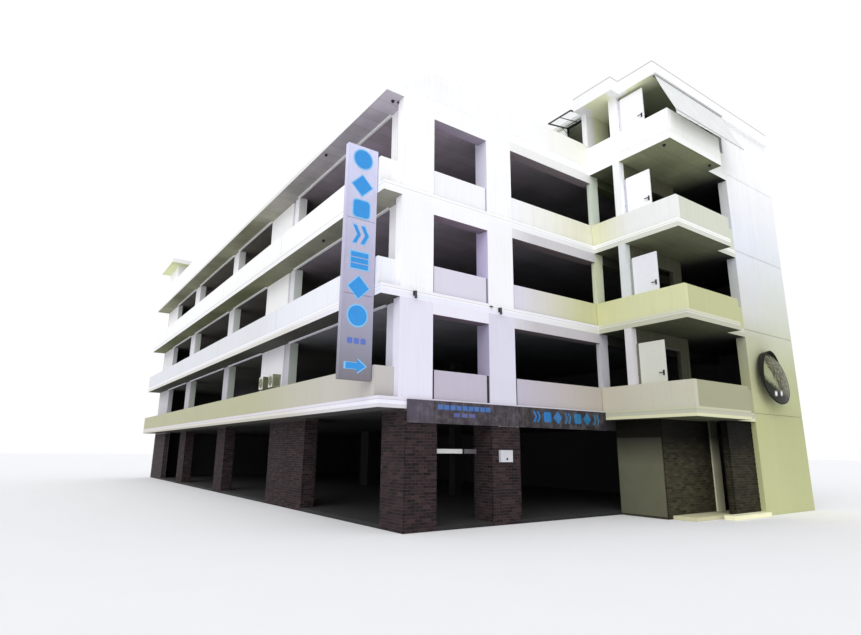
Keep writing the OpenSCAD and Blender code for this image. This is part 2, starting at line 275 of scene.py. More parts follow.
def byHeight(stops, mode="CONSTANT"):
    # a colour for each height, in metres over the ground
    places = [(z / levels["full"], tone(colour)) for z, colour in stops]
    return ramp(calc("DIVIDE", axisOf(2), levels["full"]), places, mode)


def byStorey(first, second, third, roof=None, ground=None):
    # stops for byHeight that change at each soffit
    return list(zip(levels["paintChanges"], (ground or first, first, second, third, roof or third)))


def ready(colour):
    # a colour as it is, one by height, or what a function makes
    if isinstance(colour, list):
        return byHeight(colour)
    return colour() if callable(colour) else colour


def looks(axis, way):
    # a mask of the faces that look along an axis
    return band(facing(axis) * way, 0.4, 0.6)


# Materials of the building

masonry = {"patches": (0.93, 0.92, 0.9), "dirt": (0.34, 0.31, 0.28), "chips": (0.5, 0.48, 0.44)}


def stipple(*chips):
    # stippled masonry paint over a slightly wavy render
    rough = bump(noise(objectPoint(), 150, 3, 0.6), 0.35, 0.0015)
    rough = bump(noise(objectPoint(), 5, 3), 0.3, 0.006, rough)
    for chip in chips:
        rough = bump(chip, 0.6, -0.0015, rough)
    return rough


def paintedWall(name, stops, dirtiness, mode="CONSTANT", far=None, farAxis=0, farFrom=(0, 1), inner=None,
                joints=()):
    # masonry paint: patches, rain streaks, grime at each deck, chips
    # far: the colours at the far end; inner: a mask and the colour there; the last: dark lines across an
    # axis, both real joints and lines of painted shade
    mat = startMaterial(name)
    base = byHeight(stops, mode)
    if far:
        base = blend(band(axisOf(farAxis), *farFrom), base, byHeight(far, mode))
    patches = noise(objectPoint(1, 1, 1.6), 0.45, 4, 0.6, 0.4)
    base = blend(band(patches, 0.38, 0.72, 0, 0.4), base, masonry["patches"], "MULTIPLY")
    streaks = band(noise(objectPoint(7, 7, 0.35), 1.3, 5, 0.65, 0.2), 0.5, 0.8)
    wide = band(noise(objectPoint(), 0.8, 2), 0.35, 0.7, 0.15, dirtiness)
    base = blend(streaks * wide, base, blend(0.7, base, masonry["dirt"]))
    speckle = noise(objectPoint(), 9, 6, 0.7)
    edge = band(calc("MINIMUM", *storeyHeights()), 0.0, 0.10, 1, 0)
    grime = edge * band(speckle, 0.42, 0.62) * (0.35 * dirtiness + 0.08)
    base = blend(grime, base, masonry["dirt"])
    chips = band(noise(objectPoint(), 14, 8, 0.75), 0.70, 0.76)
    base = blend(chips * 0.4, base, masonry["chips"])
    for axis, place in joints:
        base = blend(near(axisOf(axis), place, 0.02) * 0.55, base, masonry["dirt"])
    if inner:
        mask, colour = inner
        base = blend(mask(), base, ready(colour))
    return surface(mat, base, band(speckle, 0.3, 0.7, 0.72, 0.92), stipple(chips))


def boardMarks(colour, width=2.5, row=0.5):
    boards = node("TexBrick", {
        "Vector": objectPoint(), "Scale": 1.0, "Brick Width": width, "Row Height": row, "Mortar Size": 0.008,
        "Color1": (1, 1, 1), "Color2": (0.82, 0.82, 0.8), "Mortar": (0.5, 0.5, 0.5)}, "Color")
    return blend(0.8, colour, boards, "MULTIPLY")


def deckConcrete(name, s):
    # painted slab edge with a darker strip at its top and a thin line of painted shade under it; soffit with
    # dirt patches, board marks and painted shade; worn top, dark with painted shade under the decks
    mat = startMaterial(name)
    below = storeyHeights()[1]
    speckle = noise(objectPoint(), 9, 6, 0.7)
    patches = noise(objectPoint(), 0.5, 4, 0.6)
    edge = byHeight(s["edge"])
    if "edgeFar" in s:
        edge = blend(band(axisOf(0), *s["farFrom"]), edge, byHeight(s["edgeFar"]))
        edge = blend(looks(0, -1) * band(axisOf(1), 1.0, 6.0), edge, byHeight(s["edgeLeft"]))
    edge = blend(band(patches, 0.4, 0.7, 0, 0.3), edge, (0.92, 0.91, 0.9), "MULTIPLY")
    drips = band(noise(objectPoint(5, 5, 0.6), 1.6, 5, 0.7), 0.55, 0.78)
    edge = blend(drips * 0.12, edge, (0.4, 0.38, 0.36))
    strip = levels["strip"]
    edge = blend(band(below, strip - 0.004, strip + 0.004, 1, 0) * 0.6, edge, byHeight(s["edgeTop"]))
    # a thin dark line at the strip's foot: painted shade of the parapet's set-back
    line = near(below, strip, 0.012) * band(axisOf(2), 10.9, 11.1, 0.4, 0)  # none on the roof deck
    edge = blend(line, edge, (0.25, 0.23, 0.2))
    soffit = boardMarks(blend(band(patches, 0.35, 0.7, 0, 0.8), s["under"](), (0.6, 0.6, 0.58), "MULTIPLY"))
    # the tops under the decks are dark as painted shade; the roof deck's top is lighter
    worn = blend(band(axisOf(2), 11.0, 11.2), s["top"], s["roofTop"])
    worn = blend(band(patches, 0.3, 0.75), worn, (0.6, 0.6, 0.6), "MULTIPLY")
    worn = boardMarks(blend(band(speckle, 0.5, 0.75, 0, 0.4), worn, (0.06, 0.06, 0.06)), 6.0, 6.0)
    up = facing(2)
    colour = blend(band(up, 0.4, 0.6), edge, worn)
    colour = blend(band(up, -0.6, -0.4, 1, 0), colour, soffit)
    return surface(mat, colour, band(speckle, 0.3, 0.7, 0.75, 0.95), stipple())


def shadeUnderLanding(base):
    # painted shade: walls grow darker towards the landing over them
    return blend(band(axisOf(2), 1.5, 2.35, 0, 0.88), base, (0.0, 0.0, 0.0))


def paleForecourt(base):
    # the slab in front of the stair wing is as pale as its step
    return blend(axisOf(1) < -1.59, base, tone(206, 202, 166))


def plainConcrete(name, colour, grain=0.62, shade=None):
    mat = startMaterial(name)
    base = blend(band(noise(objectPoint(), 0.7, 5, 0.6), 0.35, 0.7), colour, fade(colour, grain))
    base = shade(base) if shade else base
    pores = band(node("TexVoronoi", {"Vector": objectPoint(), "Scale": 40}, "Distance"), 0.0, 0.12, 1, 0)
    base = blend(pores * 0.4, base, fade(colour, 0.25))
    rough = bump(noise(objectPoint(), 140, 3), 0.4, 0.0015)
    return surface(mat, base, 0.88, bump(pores, 0.5, -0.002, rough))


def metalPaint(name, colour, gloss=0.4, metallic=0.0, wear=0.15, worn=(0.2, 0.18, 0.16), side=None):
    mat = startMaterial(name)
    spots = noise(objectPoint(), 6, 5, 0.65)
    base = blend(band(spots, 0.45, 0.75, 0, wear), colour, worn)
    # side: colour of the faces that look towards -Y, as painted shade
    if side:
        base = blend(looks(1, -1), base, side())
    rough = band(spots, 0.3, 0.7, gloss - 0.08, gloss + 0.12)
    return surface(mat, base, rough, bump(noise(objectPoint(), 220, 2), 0.15, 0.0006), metallic=metallic)


def panelPaint(name, stops, axis=2, mode="LINEAR", gloss=0.5, wear=0.12):
    # a painted board whose colour runs through the stops, with worn spots and streaks; stops are metres along
    # the axis with a colour
    mat = startMaterial(name)
    low, high = stops[0][0], stops[-1][0]
    places = [((z - low) / (high - low), colour) for z, colour in stops]
    base = ramp(band(axisOf(axis), low, high), places, mode)
    spots = noise(objectPoint(), 5, 5, 0.65)
    base = blend(band(spots, 0.45, 0.75, 0, wear), base, (0.25, 0.24, 0.24))
    streaks = band(noise(objectPoint(9, 9, 0.5), 1.5, 4, 0.6), 0.5, 0.8, 0, 0.18)
    base = blend(streaks, base, (0.3, 0.29, 0.28))
    rough = band(spots, 0.3, 0.7, gloss - 0.08, gloss + 0.12)
    return surface(mat, base, rough, bump(noise(objectPoint(), 90, 2), 0.12, 0.0008), shine=0.25)


def brickFace(name, tones, dust, shade=None):
    # burnt brick: each brick has its own tone, with dust and a rough face
    mat = startMaterial(name)
    drawn = node("Attribute", {}, "Fac", attribute_name="tone")
    base = ramp(drawn, [(i / (len(tones) - 1), colour) for i, colour in enumerate(tones)])
    blotch = noise(objectPoint(), 18, 5, 0.7)
    base = blend(band(blotch, 0.45, 0.75, 0, 0.6), base, dust)
    damp = band(noise(objectPoint(1, 1, 0.6), 0.9, 4, 0.6), 0.4, 0.7, 0, 0.5)
    base = blend(damp, base, (0.6, 0.6, 0.6), "MULTIPLY")
    base = shade(base) if shade else base
    rough = bump(noise(objectPoint(), 60, 4, 0.7), 0.6, 0.002)
    return surface(mat, base, band(blotch, 0.3, 0.7, 0.7, 0.92), rough, shine=0.15)


def mortarBed(name, colour, shade=None):
    mat = startMaterial(name)
    smear = noise(objectPoint(1, 1, 6), 3, 5, 0.7)
    base = blend(band(smear, 0.3, 0.7), colour, fade(colour, 0.5))
    base = shade(base) if shade else base
    return surface(mat, base, 0.95, bump(noise(objectPoint(), 120, 3), 0.5, 0.002), shine=0.15)


def clothWeave(name, colour):
    mat = startMaterial(name)
    wave = node("TexWave", {"Vector": objectPoint(), "Scale": 160, "Distortion": 0.4}, "Fac")
    soil = noise(objectPoint(2, 2, 0.7), 1.6, 4, 0.6)
    base = blend(band(soil, 0.4, 0.75, 0, 0.35), colour, fade(colour, 0.7))
    return surface(mat, base, 0.8, bump(wave, 0.25, 0.0008), sheen=0.2)


def clearGlass(name, tint):
    mat = startMaterial(name)
    smear = noise(objectPoint(), 4, 3)
    base = blend(band(smear, 0.3, 0.7, 0, 0.3), tint, (0.95, 0.96, 0.97))
    return surface(mat, base, band(smear, 0.3, 0.7, 0.0, 0.06), clear=1.0, ior=1.05)


def paintedReflectionGlass(name, s):
    # silvered and weathered, with a painted reflection: pale at the left, mottled in the middle, dark low
    # down, bright painted glints
    mat = startMaterial(name)
    u, w = axisOf(0) - s["wall"][0], axisOf(2) - s["wall"][2]
    dust = noise(objectPoint(), 9, 6, 0.75)
    ragged = (dust - 0.5) * 0.5
    base = blend(band(dust, 0.42, 0.56), s["mottled"], s["mottledDark"])
    base = blend(band(u + w * 0.37 + ragged, -0.46, -0.26, 0.85, 0), base, s["pale"])
    steep, level = w + u * 0.73 + 0.574, w + u * 0.16 + 0.5
    base = blend(band(calc("MINIMUM", steep, level) + ragged, -0.1, 0.07, 0.96, 0), base, s["dark"])
    for a, b in s["glints"]:
        base = blend(near(u, a, 0.08) * near(w, b, 0.10), base, s["glint"])
    rough = band(dust, 0.3, 0.7, 0.3, 0.5)
    return surface(mat, base, rough, bump(dust, 0.1, 0.002), metallic=0.35, shine=0.2)


# Finishes of the carried-over parts

# soffit tones of the parking decks, darker on lower storeys as painted shade
deckLook = {
    "inside": byStorey((156, 156, 168), (183, 170, 188), (214, 198, 216), ground=(30, 28, 26)),
    "outside": byStorey((84, 82, 81), (170, 168, 154), (222, 214, 228)),
}
# landing soffit tones by storey, and the near black of painted shade towards the stairs
landingLook = {"under": byStorey((82, 86, 59), (124, 127, 98), (165, 170, 133)), "dark": tone(16, 18, 16)}
# olive of the stair head, lighter near the side street and darker further in, as painted light and shade
headLook = {"near": tone(252, 255, 216), "far": tone(176, 184, 158), "landing": tone(162, 172, 140),
            "room": tone(248, 252, 226), "pillars": tone(255), "outside": byStorey(240, 245, 255)}
beamLook = {
    "under": byStorey((112, 96, 108), (140, 122, 138), (172, 160, 178), ground=(36, 34, 36)),
    "underFar": byStorey((92, 82, 86), (99, 88, 92), (136, 124, 130), ground=(36, 34, 36)),
    "landing": byStorey((34, 34, 28), (56, 58, 42), (78, 84, 54)), "landingFrom": 7.86,
}


def parkingSoffitShade():
    # painted shade: lavender-grey over the side street, browner and darker the further in and on lower
    # storeys
    x, y = axisOf(0), axisOf(1)
    inside = blend(band(x, 2.6, 6.5), byHeight(deckLook["inside"]), (0.35, 0.38, 0.36), "MULTIPLY")
    inside = blend(band(y, 4.0, 9.0), inside, (0.3, 0.32, 0.22), "MULTIPLY")
    outside = blend(band(y, 2.0, 12.0), byHeight(deckLook["outside"]), (0.5, 0.54, 0.31), "MULTIPLY")
    return blend(band(x, -0.02, 0.02), outside, inside)


def landingSoffitShade():
    # olive paint with painted shade: darker inwards and near black towards the stairs
    base = blend(band(axisOf(1), -1.3, -0.9), byHeight(landingLook["under"]), (0.4, 0.4, 0.4), "MULTIPLY")
    return blend(band(axisOf(0), 9.8, 11.3), base, landingLook["dark"])


def insideHead():
    # the stair head's faces under cover: all that look to the front, and those behind its left wall
    x = axisOf(0)
    left, right = looks(0, -1) * (x > 8.2), looks(0, 1) * (x < 8.9)
    return calc("MAXIMUM", looks(1, -1), calc("MAXIMUM", left, right))


def headOliveLitAndShaded():
    # olive paint with painted light and shade: pale where the side street lights it, darker further in and
    # over the landing, light in the room behind the window; white over the two pillars and past the awning
    x, y, s = axisOf(0), axisOf(1), headLook
    base = blend(band(x, 8.3, 9.2), s["near"], s["far"])
    base = blend((y < -0.95) * band(x, 7.5, 8.2), base, s["landing"])
    base = blend((y > 0.16) * (x > 8.1), base, s["room"])
    pillars = calc("MAXIMUM", y > -0.22, y < -1.12) * (y > -1.62) * (x < 7.62)
    return blend(calc("MAXIMUM", pillars, x > 11.4), base, s["pillars"])


def beamShadow():
    # undersides, and the whole beam over the stair landing
    x = axisOf(0)
    under = looks(2, -1) * (x > 0.0)
    return calc("MAXIMUM", under, (x > beamLook["landingFrom"]) * (axisOf(1) < 1.0))


def beamShadowTones():
    x, s = axisOf(0), beamLook
    base = blend(band(x, 2.8, 3.6), byHeight(s["under"]), byHeight(s["underFar"]))
    return blend(x > s["landingFrom"], base, byHeight(s["landing"]))


def pillarFoot():
    # the part between the parapets is painted as they are
    return storeyHeights()[0] < 0.745


dark = metalPaint("dark_metal", tone(34, 36, 40))
pale = metalPaint("pale_metal", tone(222, 222, 220))
pipeMat = metalPaint("pipe_plastic", tone(214, 212, 222), 0.5, wear=0.1)
doorMat = metalPaint("door_paint", tone(232, 234, 230), 0.45, wear=0.08)

finishes = {  # for each node, or for several that share one paint
    "parking_decks roof_deck": deckConcrete("deck_concrete", {
        "edge": byStorey((240, 240, 252), (252, 252, 255), 255, ground=(216, 214, 220)),
        "edgeFar": byStorey((226, 226, 218), (230, 231, 231), 255, ground=(206, 200, 190)),
        "farFrom": (3.0, 7.5),
        "edgeLeft": byStorey((214, 212, 206), 238, (228, 228, 226), 255, (190, 188, 176)),
        "edgeTop": byStorey((218, 212, 228), (240, 238, 248), (254, 254, 255), ground=(192, 184, 196)),
        "under": parkingSoffitShade, "top": tone(62, 62, 60), "roofTop": tone(150, 150, 146)}),
    "landings": deckConcrete("landing_concrete", {
        "edge": byStorey((190, 191, 170), (216, 218, 206), (254, 255, 252), ground=(218, 218, 180)),
        "edgeTop": byStorey((198, 199, 164), (205, 207, 167), (246, 248, 242), ground=(184, 181, 152)),
        "under": landingSoffitShade, "top": tone(90, 90, 80), "roofTop": tone(140, 140, 130)}),
    "corner_pier": paintedWall("white_masonry", byStorey((232, 230, 245), (252, 252, 255), 255), 0.2),
    "front_pier": paintedWall(
        "pier_paint", byStorey((221, 219, 235), (250, 250, 254), 255), 0.2,
        # faces towards the side street: darker lavender, painted shade in the reveals
        inner=(lambda: looks(0, -1), byStorey((175, 167, 195), (210, 200, 234), (230, 227, 244)))),
    "edge_beams": paintedWall(
        "beam_paint", byStorey((238, 236, 248), (252, 252, 255), 255, ground=(36, 34, 36)), 0.2,
        far=byStorey((196, 192, 196), (207, 204, 208), (242, 242, 240), ground=(36, 34, 36)),
        farFrom=(2.8, 4.6), inner=(beamShadow, beamShadowTones)),
    "left_columns": paintedWall(
        "column_paint", byStorey((196, 194, 202), (236, 236, 242), (252, 252, 255)), 0.2,
        inner=(lambda: looks(1, -1), byStorey((204, 212, 200), (248, 254, 246), 255))),
    "left_infill_panels": paintedWall("infill_paint", byStorey((236, 234, 240), 255, 255), 0.15),
    "end_wall": paintedWall(
        "end_wall_paint",
        byStorey((206, 204, 210), (236, 236, 240), (250, 250, 252), ground=(120, 112, 112)), 0.3),
    "rear_wall": paintedWall(
        "rear_wall_paint", byStorey((196, 194, 192), (214, 213, 212), 228, ground=(176, 172, 166)), 0.45,
        # inner faces near black: painted shade inside the building
        inner=(lambda: looks(1, -1), tone(60))),
    "party_wall": paintedWall(
        "party_wall_render",
        byStorey((172, 168, 158), (176, 173, 164), (182, 179, 170), (190, 188, 180)), 0.5,
        # the inner face near black: painted shade inside the building
        inner=(lambda: looks(0, -1), tone(44, 44, 46))),
    "front_parapets": paintedWall(
        "front_parapet_paint", byStorey((194, 187, 204), (221, 217, 232), (251, 251, 255)), 0.25,
        far=byStorey((190, 182, 172), (206, 207, 162), (236, 236, 214)), farFrom=(3.8, 6.6)),
    "left_parapets parapet_ends rear_parapets": paintedWall(
        "left_parapet_paint", byStorey((194, 190, 186), (242, 244, 252), (254, 254, 255)), 0.25,
        far=byStorey((179, 179, 148), (220, 222, 227), (246, 248, 246)), farAxis=1, farFrom=(0.5, 9.0),
        joints=((1, 7.2), (1, 14.4), (1, 21.6), (1, 28.8))),
    "landing_side_parapets": paintedWall(
        "wing_side_paint", byStorey((200, 194, 176), (214, 215, 164), (230, 231, 198), 255), 0.25,
        far=byStorey((200, 197, 178), (214, 217, 170), (240, 242, 240), 255), farAxis=1,
        farFrom=(-0.3, -1.5)),
    "landing_front_parapets": paintedWall(
        "wing_front_paint",
        byStorey((163, 164, 133), (192, 194, 147), (213, 217, 201), (250, 252, 245)), 0.25),
    "tall_wall": paintedWall(
        "tall_wall_paint",
        [(0.0, (196, 200, 150)), (2.7, (188, 190, 138)), (4.2, (190, 192, 150)), (5.6, (191, 193, 166)),
         (6.4, (212, 214, 208)), (9.1, (233, 237, 246)), (11.4, (254, 255, 255))], 0.25, "LINEAR",
        far=[(0.0, (190, 194, 144)), (3.0, (182, 186, 136)), (4.6, (188, 192, 152)), (6.5, (210, 214, 200)),
             (9.0, (230, 234, 240)), (12.0, 255)], farFrom=(12.6, 13.8)),
    "inner_pillars": paintedWall(
        "inner_pillar_paint", byStorey((195, 195, 200), (221, 227, 194), (226, 236, 219), 255), 0.2,
        inner=(pillarFoot, byStorey((192, 186, 172), (212, 213, 164), (232, 232, 202), 255))),
    "stair_pillars": paintedWall(
        "stair_pillar_paint", byStorey((214, 212, 214), (218, 223, 223), (252, 254, 255), 255), 0.15),
    "stair_piers stair_headers": paintedWall(
        "olive_masonry", byStorey((70, 70, 50), (76, 76, 56), (82, 84, 60), (100, 104, 70)), 0.4),
    "stair_head_walls": paintedWall(
        "stair_head_paint", headLook["outside"], 0.1, inner=(insideHead, headOliveLitAndShaded)),
    "stair_head_roof": paintedWall(
        "stair_head_roof_paint", headLook["outside"], 0.1, inner=(lambda: looks(2, -1), headOliveLitAndShaded),
        # dark lines along the roof's top edges: painted shade under the coping
        joints=((2, 14.12), (2, 14.14), (2, 14.23))),
    "rear_stair_walls rear_stair_roof": paintedWall(
        "roof_paint", headLook["outside"], 0.1, inner=(lambda: looks(2, -1), tone(232, 236, 186))),
    "roof_parapets": paintedWall(
        "roof_parapet_paint", headLook["outside"], 0.1, far=byStorey(*[(251, 251, 240)] * 3),
        farFrom=(4.8, 7.2)),
    "ground_slab": plainConcrete("ground_concrete", tone(34), shade=paleForecourt),
    # the inner columns are near black: painted shade inside the decks
    "inner_columns": plainConcrete("bare_concrete", tone(36, 36, 35)),
    "entrance_step": plainConcrete("step_concrete", tone(255, 252, 214), 0.92),
    "entrance_panel": plainConcrete("panel_render", tone(98, 98, 78), 0.75, shadeUnderLanding),
    "entrance_post": plainConcrete("post_render", tone(250, 250, 214), 0.8, shadeUnderLanding),
    "entrance_walls": mortarBed("entrance_mortar", tone(84, 80, 66), shadeUnderLanding),
    "brick_piers": mortarBed("mortar_bed", tone(84, 76, 76)),
    "awning_rails": metalPaint("rail_metal", tone(200), 0.35, 0.8),
    "window_frame door_fittings sign_brackets": dark, "stair_doors": doorMat, "downpipes": pipeMat,
}
for obj in nodes.values():
    obj.data.materials.clear()
    obj.data.materials.append(pale)
for names, material in finishes.items():
    for name in names.split():
        nodes[name].data.materials[0] = material
print("materials ready")

# Modelling helpers


def bare():
    # nothing selected, nothing active
    if bpy.context.object and bpy.context.object.mode != "OBJECT":
        bpy.ops.object.mode_set(mode="OBJECT")
    bpy.ops.object.select_all(action="DESELECT")
    bpy.context.view_layer.objects.active = None


def only(obj):
    bare()
    obj.select_set(True)
    bpy.context.view_layer.objects.active = obj


def added(name):
    # the new primitive, named, with its place put into its mesh
    obj = bpy.context.active_object
    obj.name = name
    only(obj)
    bpy.ops.object.transform_apply(location=True, rotation=True, scale=True)
    return obj


def addBox(name, low, high):
    bare()
    middle = [(a + b) / 2 for a, b in zip(low, high)]
    size = [b - a for a, b in zip(low, high)]
    bpy.ops.mesh.primitive_cube_add(size=1, location=middle, scale=size)
    return added(name)


def addRound(name, radius, depth, middle, turn=(0, 0, 0), sides=72):
    bare()
    bpy.ops.mesh.primitive_cylinder_add(
        vertices=sides, radius=radius, depth=depth, location=middle, rotation=turn)
    return added(name)


def addTube(name, start, end, radius, sides=20):
    a, b = Vector(start), Vector(end)
    turn = (b - a).to_track_quat("Z", "Y").to_euler()
    return addRound(name, radius, (b - a).length, (a + b) / 2, turn, sides)


def pick(obj, kind, test):
    # leaves the object in edit mode, with the faces, edges or corners selected that pass the test
    only(obj)
    bpy.ops.object.mode_set(mode="EDIT")
    bpy.ops.mesh.select_mode(type=kind)
    mesh = bmesh.from_edit_mesh(obj.data)
    items = {"FACE": mesh.faces, "EDGE": mesh.edges, "VERT": mesh.verts}[kind]
    for item in items:
        item.select_set(False)
    for item in items:
        if test(item):
            item.select_set(True)
    bmesh.update_edit_mesh(obj.data)


def shape(obj, kind, test, operator, **settings):
    # one step in edit mode on what passes the test
    pick(obj, kind, test)
    operator(**settings)
    bpy.ops.object.mode_set(mode="OBJECT")


def shapeFaces(obj, test, operator, **settings):
    # the test reads a face's middle and normal
    shape(obj, "FACE", lambda face: test(face.calc_center_median(), face.normal), operator, **settings)


def towards(axis, way):
    # a test for faces that look along an axis
    return lambda m, n: n[axis] * way > 0.9


def everyFace(middle, normal):
    return True


def inset(obj, test, thickness, depth):
    shapeFaces(obj, test, bpy.ops.mesh.inset, thickness=thickness, depth=depth)


def extrude(obj, test, move):
    shapeFaces(obj, test, bpy.ops.mesh.extrude_region_move, TRANSFORM_OT_translate={"value": move})


def cutOff(obj, point, outward):
    # saws off what lies beyond a plane
    shapeFaces(obj, everyFace, bpy.ops.mesh.bisect, plane_co=point, plane_no=outward, clear_outer=True,
               use_fill=True)


def openThrough(obj, test):
    # joins the two faces that pass the test by a hole
    shapeFaces(obj, test, bpy.ops.mesh.bridge_edge_loops)


def modify(obj, kind, **settings):
    only(obj)
    modifier = obj.modifiers.new(kind.lower(), kind)
    for key, value in settings.items():
        setattr(modifier, key, value)
    bpy.ops.object.modifier_apply(modifier=modifier.name)


def soften(obj, width, segments=1):
    modify(obj, "BEVEL", width=width, segments=segments, limit_method="ANGLE", angle_limit=math.radians(40))
    return obj


def join(name, parts):
    only(parts[0])
    for part in parts:
        part.select_set(True)
    if len(parts) > 1:
        bpy.ops.object.join()
    obj = bpy.context.active_object
    obj.name = name
    return obj


def copyOf(obj, name, move):
    twin = obj.copy()
    twin.data = obj.data.copy()
    twin.name = name
    twin.data.transform(Matrix.Translation(move))
    scene.collection.objects.link(twin)
    return twin


def smooth(obj):
    only(obj)
    bpy.ops.object.shade_smooth_by_angle(angle=math.radians(35))


def finish(obj, material, replaced=None):
    obj.data.materials.clear()
    obj.data.materials.append(material)
    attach(obj, "root")
    if replaced:
        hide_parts(replaced)


# Brickwork of the ground storey: one brick, laid in courses over the mortar beds

brickwork = {
    "length": 0.215, "height": 0.065, "joint": 0.010,
    "proud": 0.006, "deep": 0.03, "wornEdge": 0.004, "shortest": 0.04,
    "foot": 0.005, "top": 2.835, "seed": 7,
    "burnt": [(18, 15, 18), (38, 28, 32), (54, 38, 42), (28, 23, 27), (66, 50, 50), (24, 20, 23)],
    "olive": [(36, 35, 27), (54, 51, 38), (70, 66, 48), (46, 44, 34), (80, 76, 56), (40, 40, 30)],
    # the passage bricks and their dust are darker: painted shade in the passage
    "dust": {"burnt": tone(74, 64, 66), "olive": tone(80, 78, 60), "passage": tone(60, 58, 42)},
    "passageShade": 0.6,
    "piers": {
        "corner_pier": (0, 0.95, 0, 1.05), "front_pier": (2.75, 3.76, 0, 0.75),
        "end_wall": (0, 0.25, 27.8, 31.19, "fl"), "entrance_front": (8.0, 10.56, -1.6, 0, "f"),
        "passage": (10.1, 11.6, -2.45, -2.25, "fbl"),
    },
    "sidePiers": [(0, 0.45, 5.9, 9.1), (0, 0.45, 14.7, 16.0), (0, 0.45, 22.2, 23.6)],
}


def oneBrick(s):
    # stands on X, its face towards -Y
    brick = addBox("brick", (0, -s["proud"], 0), (s["length"], s["deep"], s["height"]))
    shape(brick, "EDGE", lambda edge: all(v.co.y < 0 for v in edge.verts), bpy.ops.mesh.bevel,
          offset=s["wornEdge"], segments=1)
    return brick


def layBricks(name, brick, walls, material, s):
    # walls: start, outward direction and length; courses break joint, corners interlock
    draw = random.Random(s["seed"] + len(name))
    pitch, course = s["length"] + s["joint"], s["height"] + s["joint"]
    corners = np.array([tuple(v.co) for v in brick.data.vertices])
    faces = [tuple(p.vertices) for p in brick.data.polygons]
    points, allFaces, tones = [], [], []
    for (x, y), (ox, oy), length in walls:
        for row in range(int((s["top"] - s["foot"] + s["joint"]) / course)):
            odd = row % 2
            first = -s["proud"] if odd else 0.0
            last = length + (0.0 if odd else s["proud"])
            at = -pitch / 2 if odd else 0.0
            while at < last:
                a, b = max(at, first), min(at + s["length"], last)
                if b - a > s["shortest"]:
                    local = corners.copy()
                    local[:, 0] = a + local[:, 0] * (b - a) / s["length"]
                    place = np.empty_like(local)
                    place[:, 0] = x - oy * local[:, 0] - ox * local[:, 1]
                    place[:, 1] = y + ox * local[:, 0] - oy * local[:, 1]
                    place[:, 2] = s["foot"] + row * course + local[:, 2]
                    base = len(points) * len(corners)
                    points.append(place)
                    allFaces += [tuple(base + i for i in face) for face in faces]
                    tones += [draw.random()] * len(corners)
                at += pitch
    mesh = bpy.data.meshes.new(name)
    mesh.from_pydata(np.concatenate(points).tolist(), [], allFaces)
    mesh.attributes.new("tone", "FLOAT", "POINT").data.foreach_set("value", tones)
    obj = bpy.data.objects.new(name, mesh)
    scene.collection.objects.link(obj)
    finish(obj, material)


def pierWalls(x0, x1, y0, y1, sides="frbl"):
    # f towards the front, r right, b rear, l towards the side street
    every = {"f": ((x0, y0), (0, -1), x1 - x0), "r": ((x1, y0), (1, 0), y1 - y0),
             "b": ((x1, y1), (0, 1), x1 - x0), "l": ((x0, y1), (-1, 0), y1 - y0)}
    return [every[side] for side in sides]


def makeBrickwork(s):
    brick = oneBrick(s)
    dust, olive = s["dust"], [tone(colour) for colour in s["olive"]]
    darkOlive = [fade(colour, s["passageShade"]) for colour in olive]
    burnt = brickFace("burnt_brick", [tone(colour) for colour in s["burnt"]], dust["burnt"])
    others = {"entrance_front": brickFace("olive_brick", olive, dust["olive"], shadeUnderLanding),
              "passage": brickFace("passage_brick", darkOlive, dust["passage"], shadeUnderLanding)}
    for name, sizes in s["piers"].items():
        layBricks("bricks_" + name, brick, pierWalls(*sizes), others.get(name, burnt), s)
    sideWalls = [wall for sizes in s["sidePiers"] for wall in pierWalls(*sizes)]
    layBricks("bricks_side_piers", brick, sideWalls, burnt, s)
    bpy.data.objects.remove(brick)


makeBrickwork(brickwork)
print("brickwork laid")

# Sign board: a framed box with plain blue shapes on the face towards the front

signBoard = {
    "x": (-1.64, -0.78), "y": (0.30, 0.45), "z": (3.46, 9.50), "rim": 0.035, "sunk": 0.008,
    "panel": [(3.46, tone(122, 118, 126)), (4.4, tone(150, 150, 168)), (5.6, tone(176, 172, 196)),
              (7.5, tone(198, 196, 222)), (9.5, tone(218, 220, 248))],
    "blue": tone(42, 146, 222), "halo": tone(132, 196, 240), "smallBlue": tone(84, 112, 196),
    "thick": 0.007, "haloThick": 0.0028,
    "shapes": [  # middle, size and size of the pale edge
        ("disc", 9.14, 0.50, 0.58), ("diamond", 8.41, 0.50, 0.58), ("square", 7.77, 0.50, 0.58),
        ("chevrons", 7.08, 0.50, 0.58), ("bars", 6.40, 0.50, 0.58), ("diamond", 5.72, 0.50, 0.58),
        ("disc", 5.01, 0.50, 0.58), ("arrow", 3.79, 0.52, 0.62)],
    "row": (4.39, 0.15, 0.18),  # middle, size and pitch of the small squares
    "seams": ((1 / 3, 0.06), (2 / 3, 0.0)),  # shares of the height where its sheets meet, with a lift
}


def chevron(x, z, size, low, high):
    # an upright bar, parted at half its height and pushed aside there
    part = addBox("chevron", (x, low, z - 0.46 * size), (x + 0.2 * size, high, z + 0.46 * size))
    shapeFaces(part, everyFace, bpy.ops.mesh.bisect, plane_co=(x, 0, z), plane_no=(0, 0, 1))
    shape(part, "VERT", lambda vertex: abs(vertex.co.z - z) < 1e-4, bpy.ops.transform.translate,
          value=(0.24 * size, 0, 0))
    return part


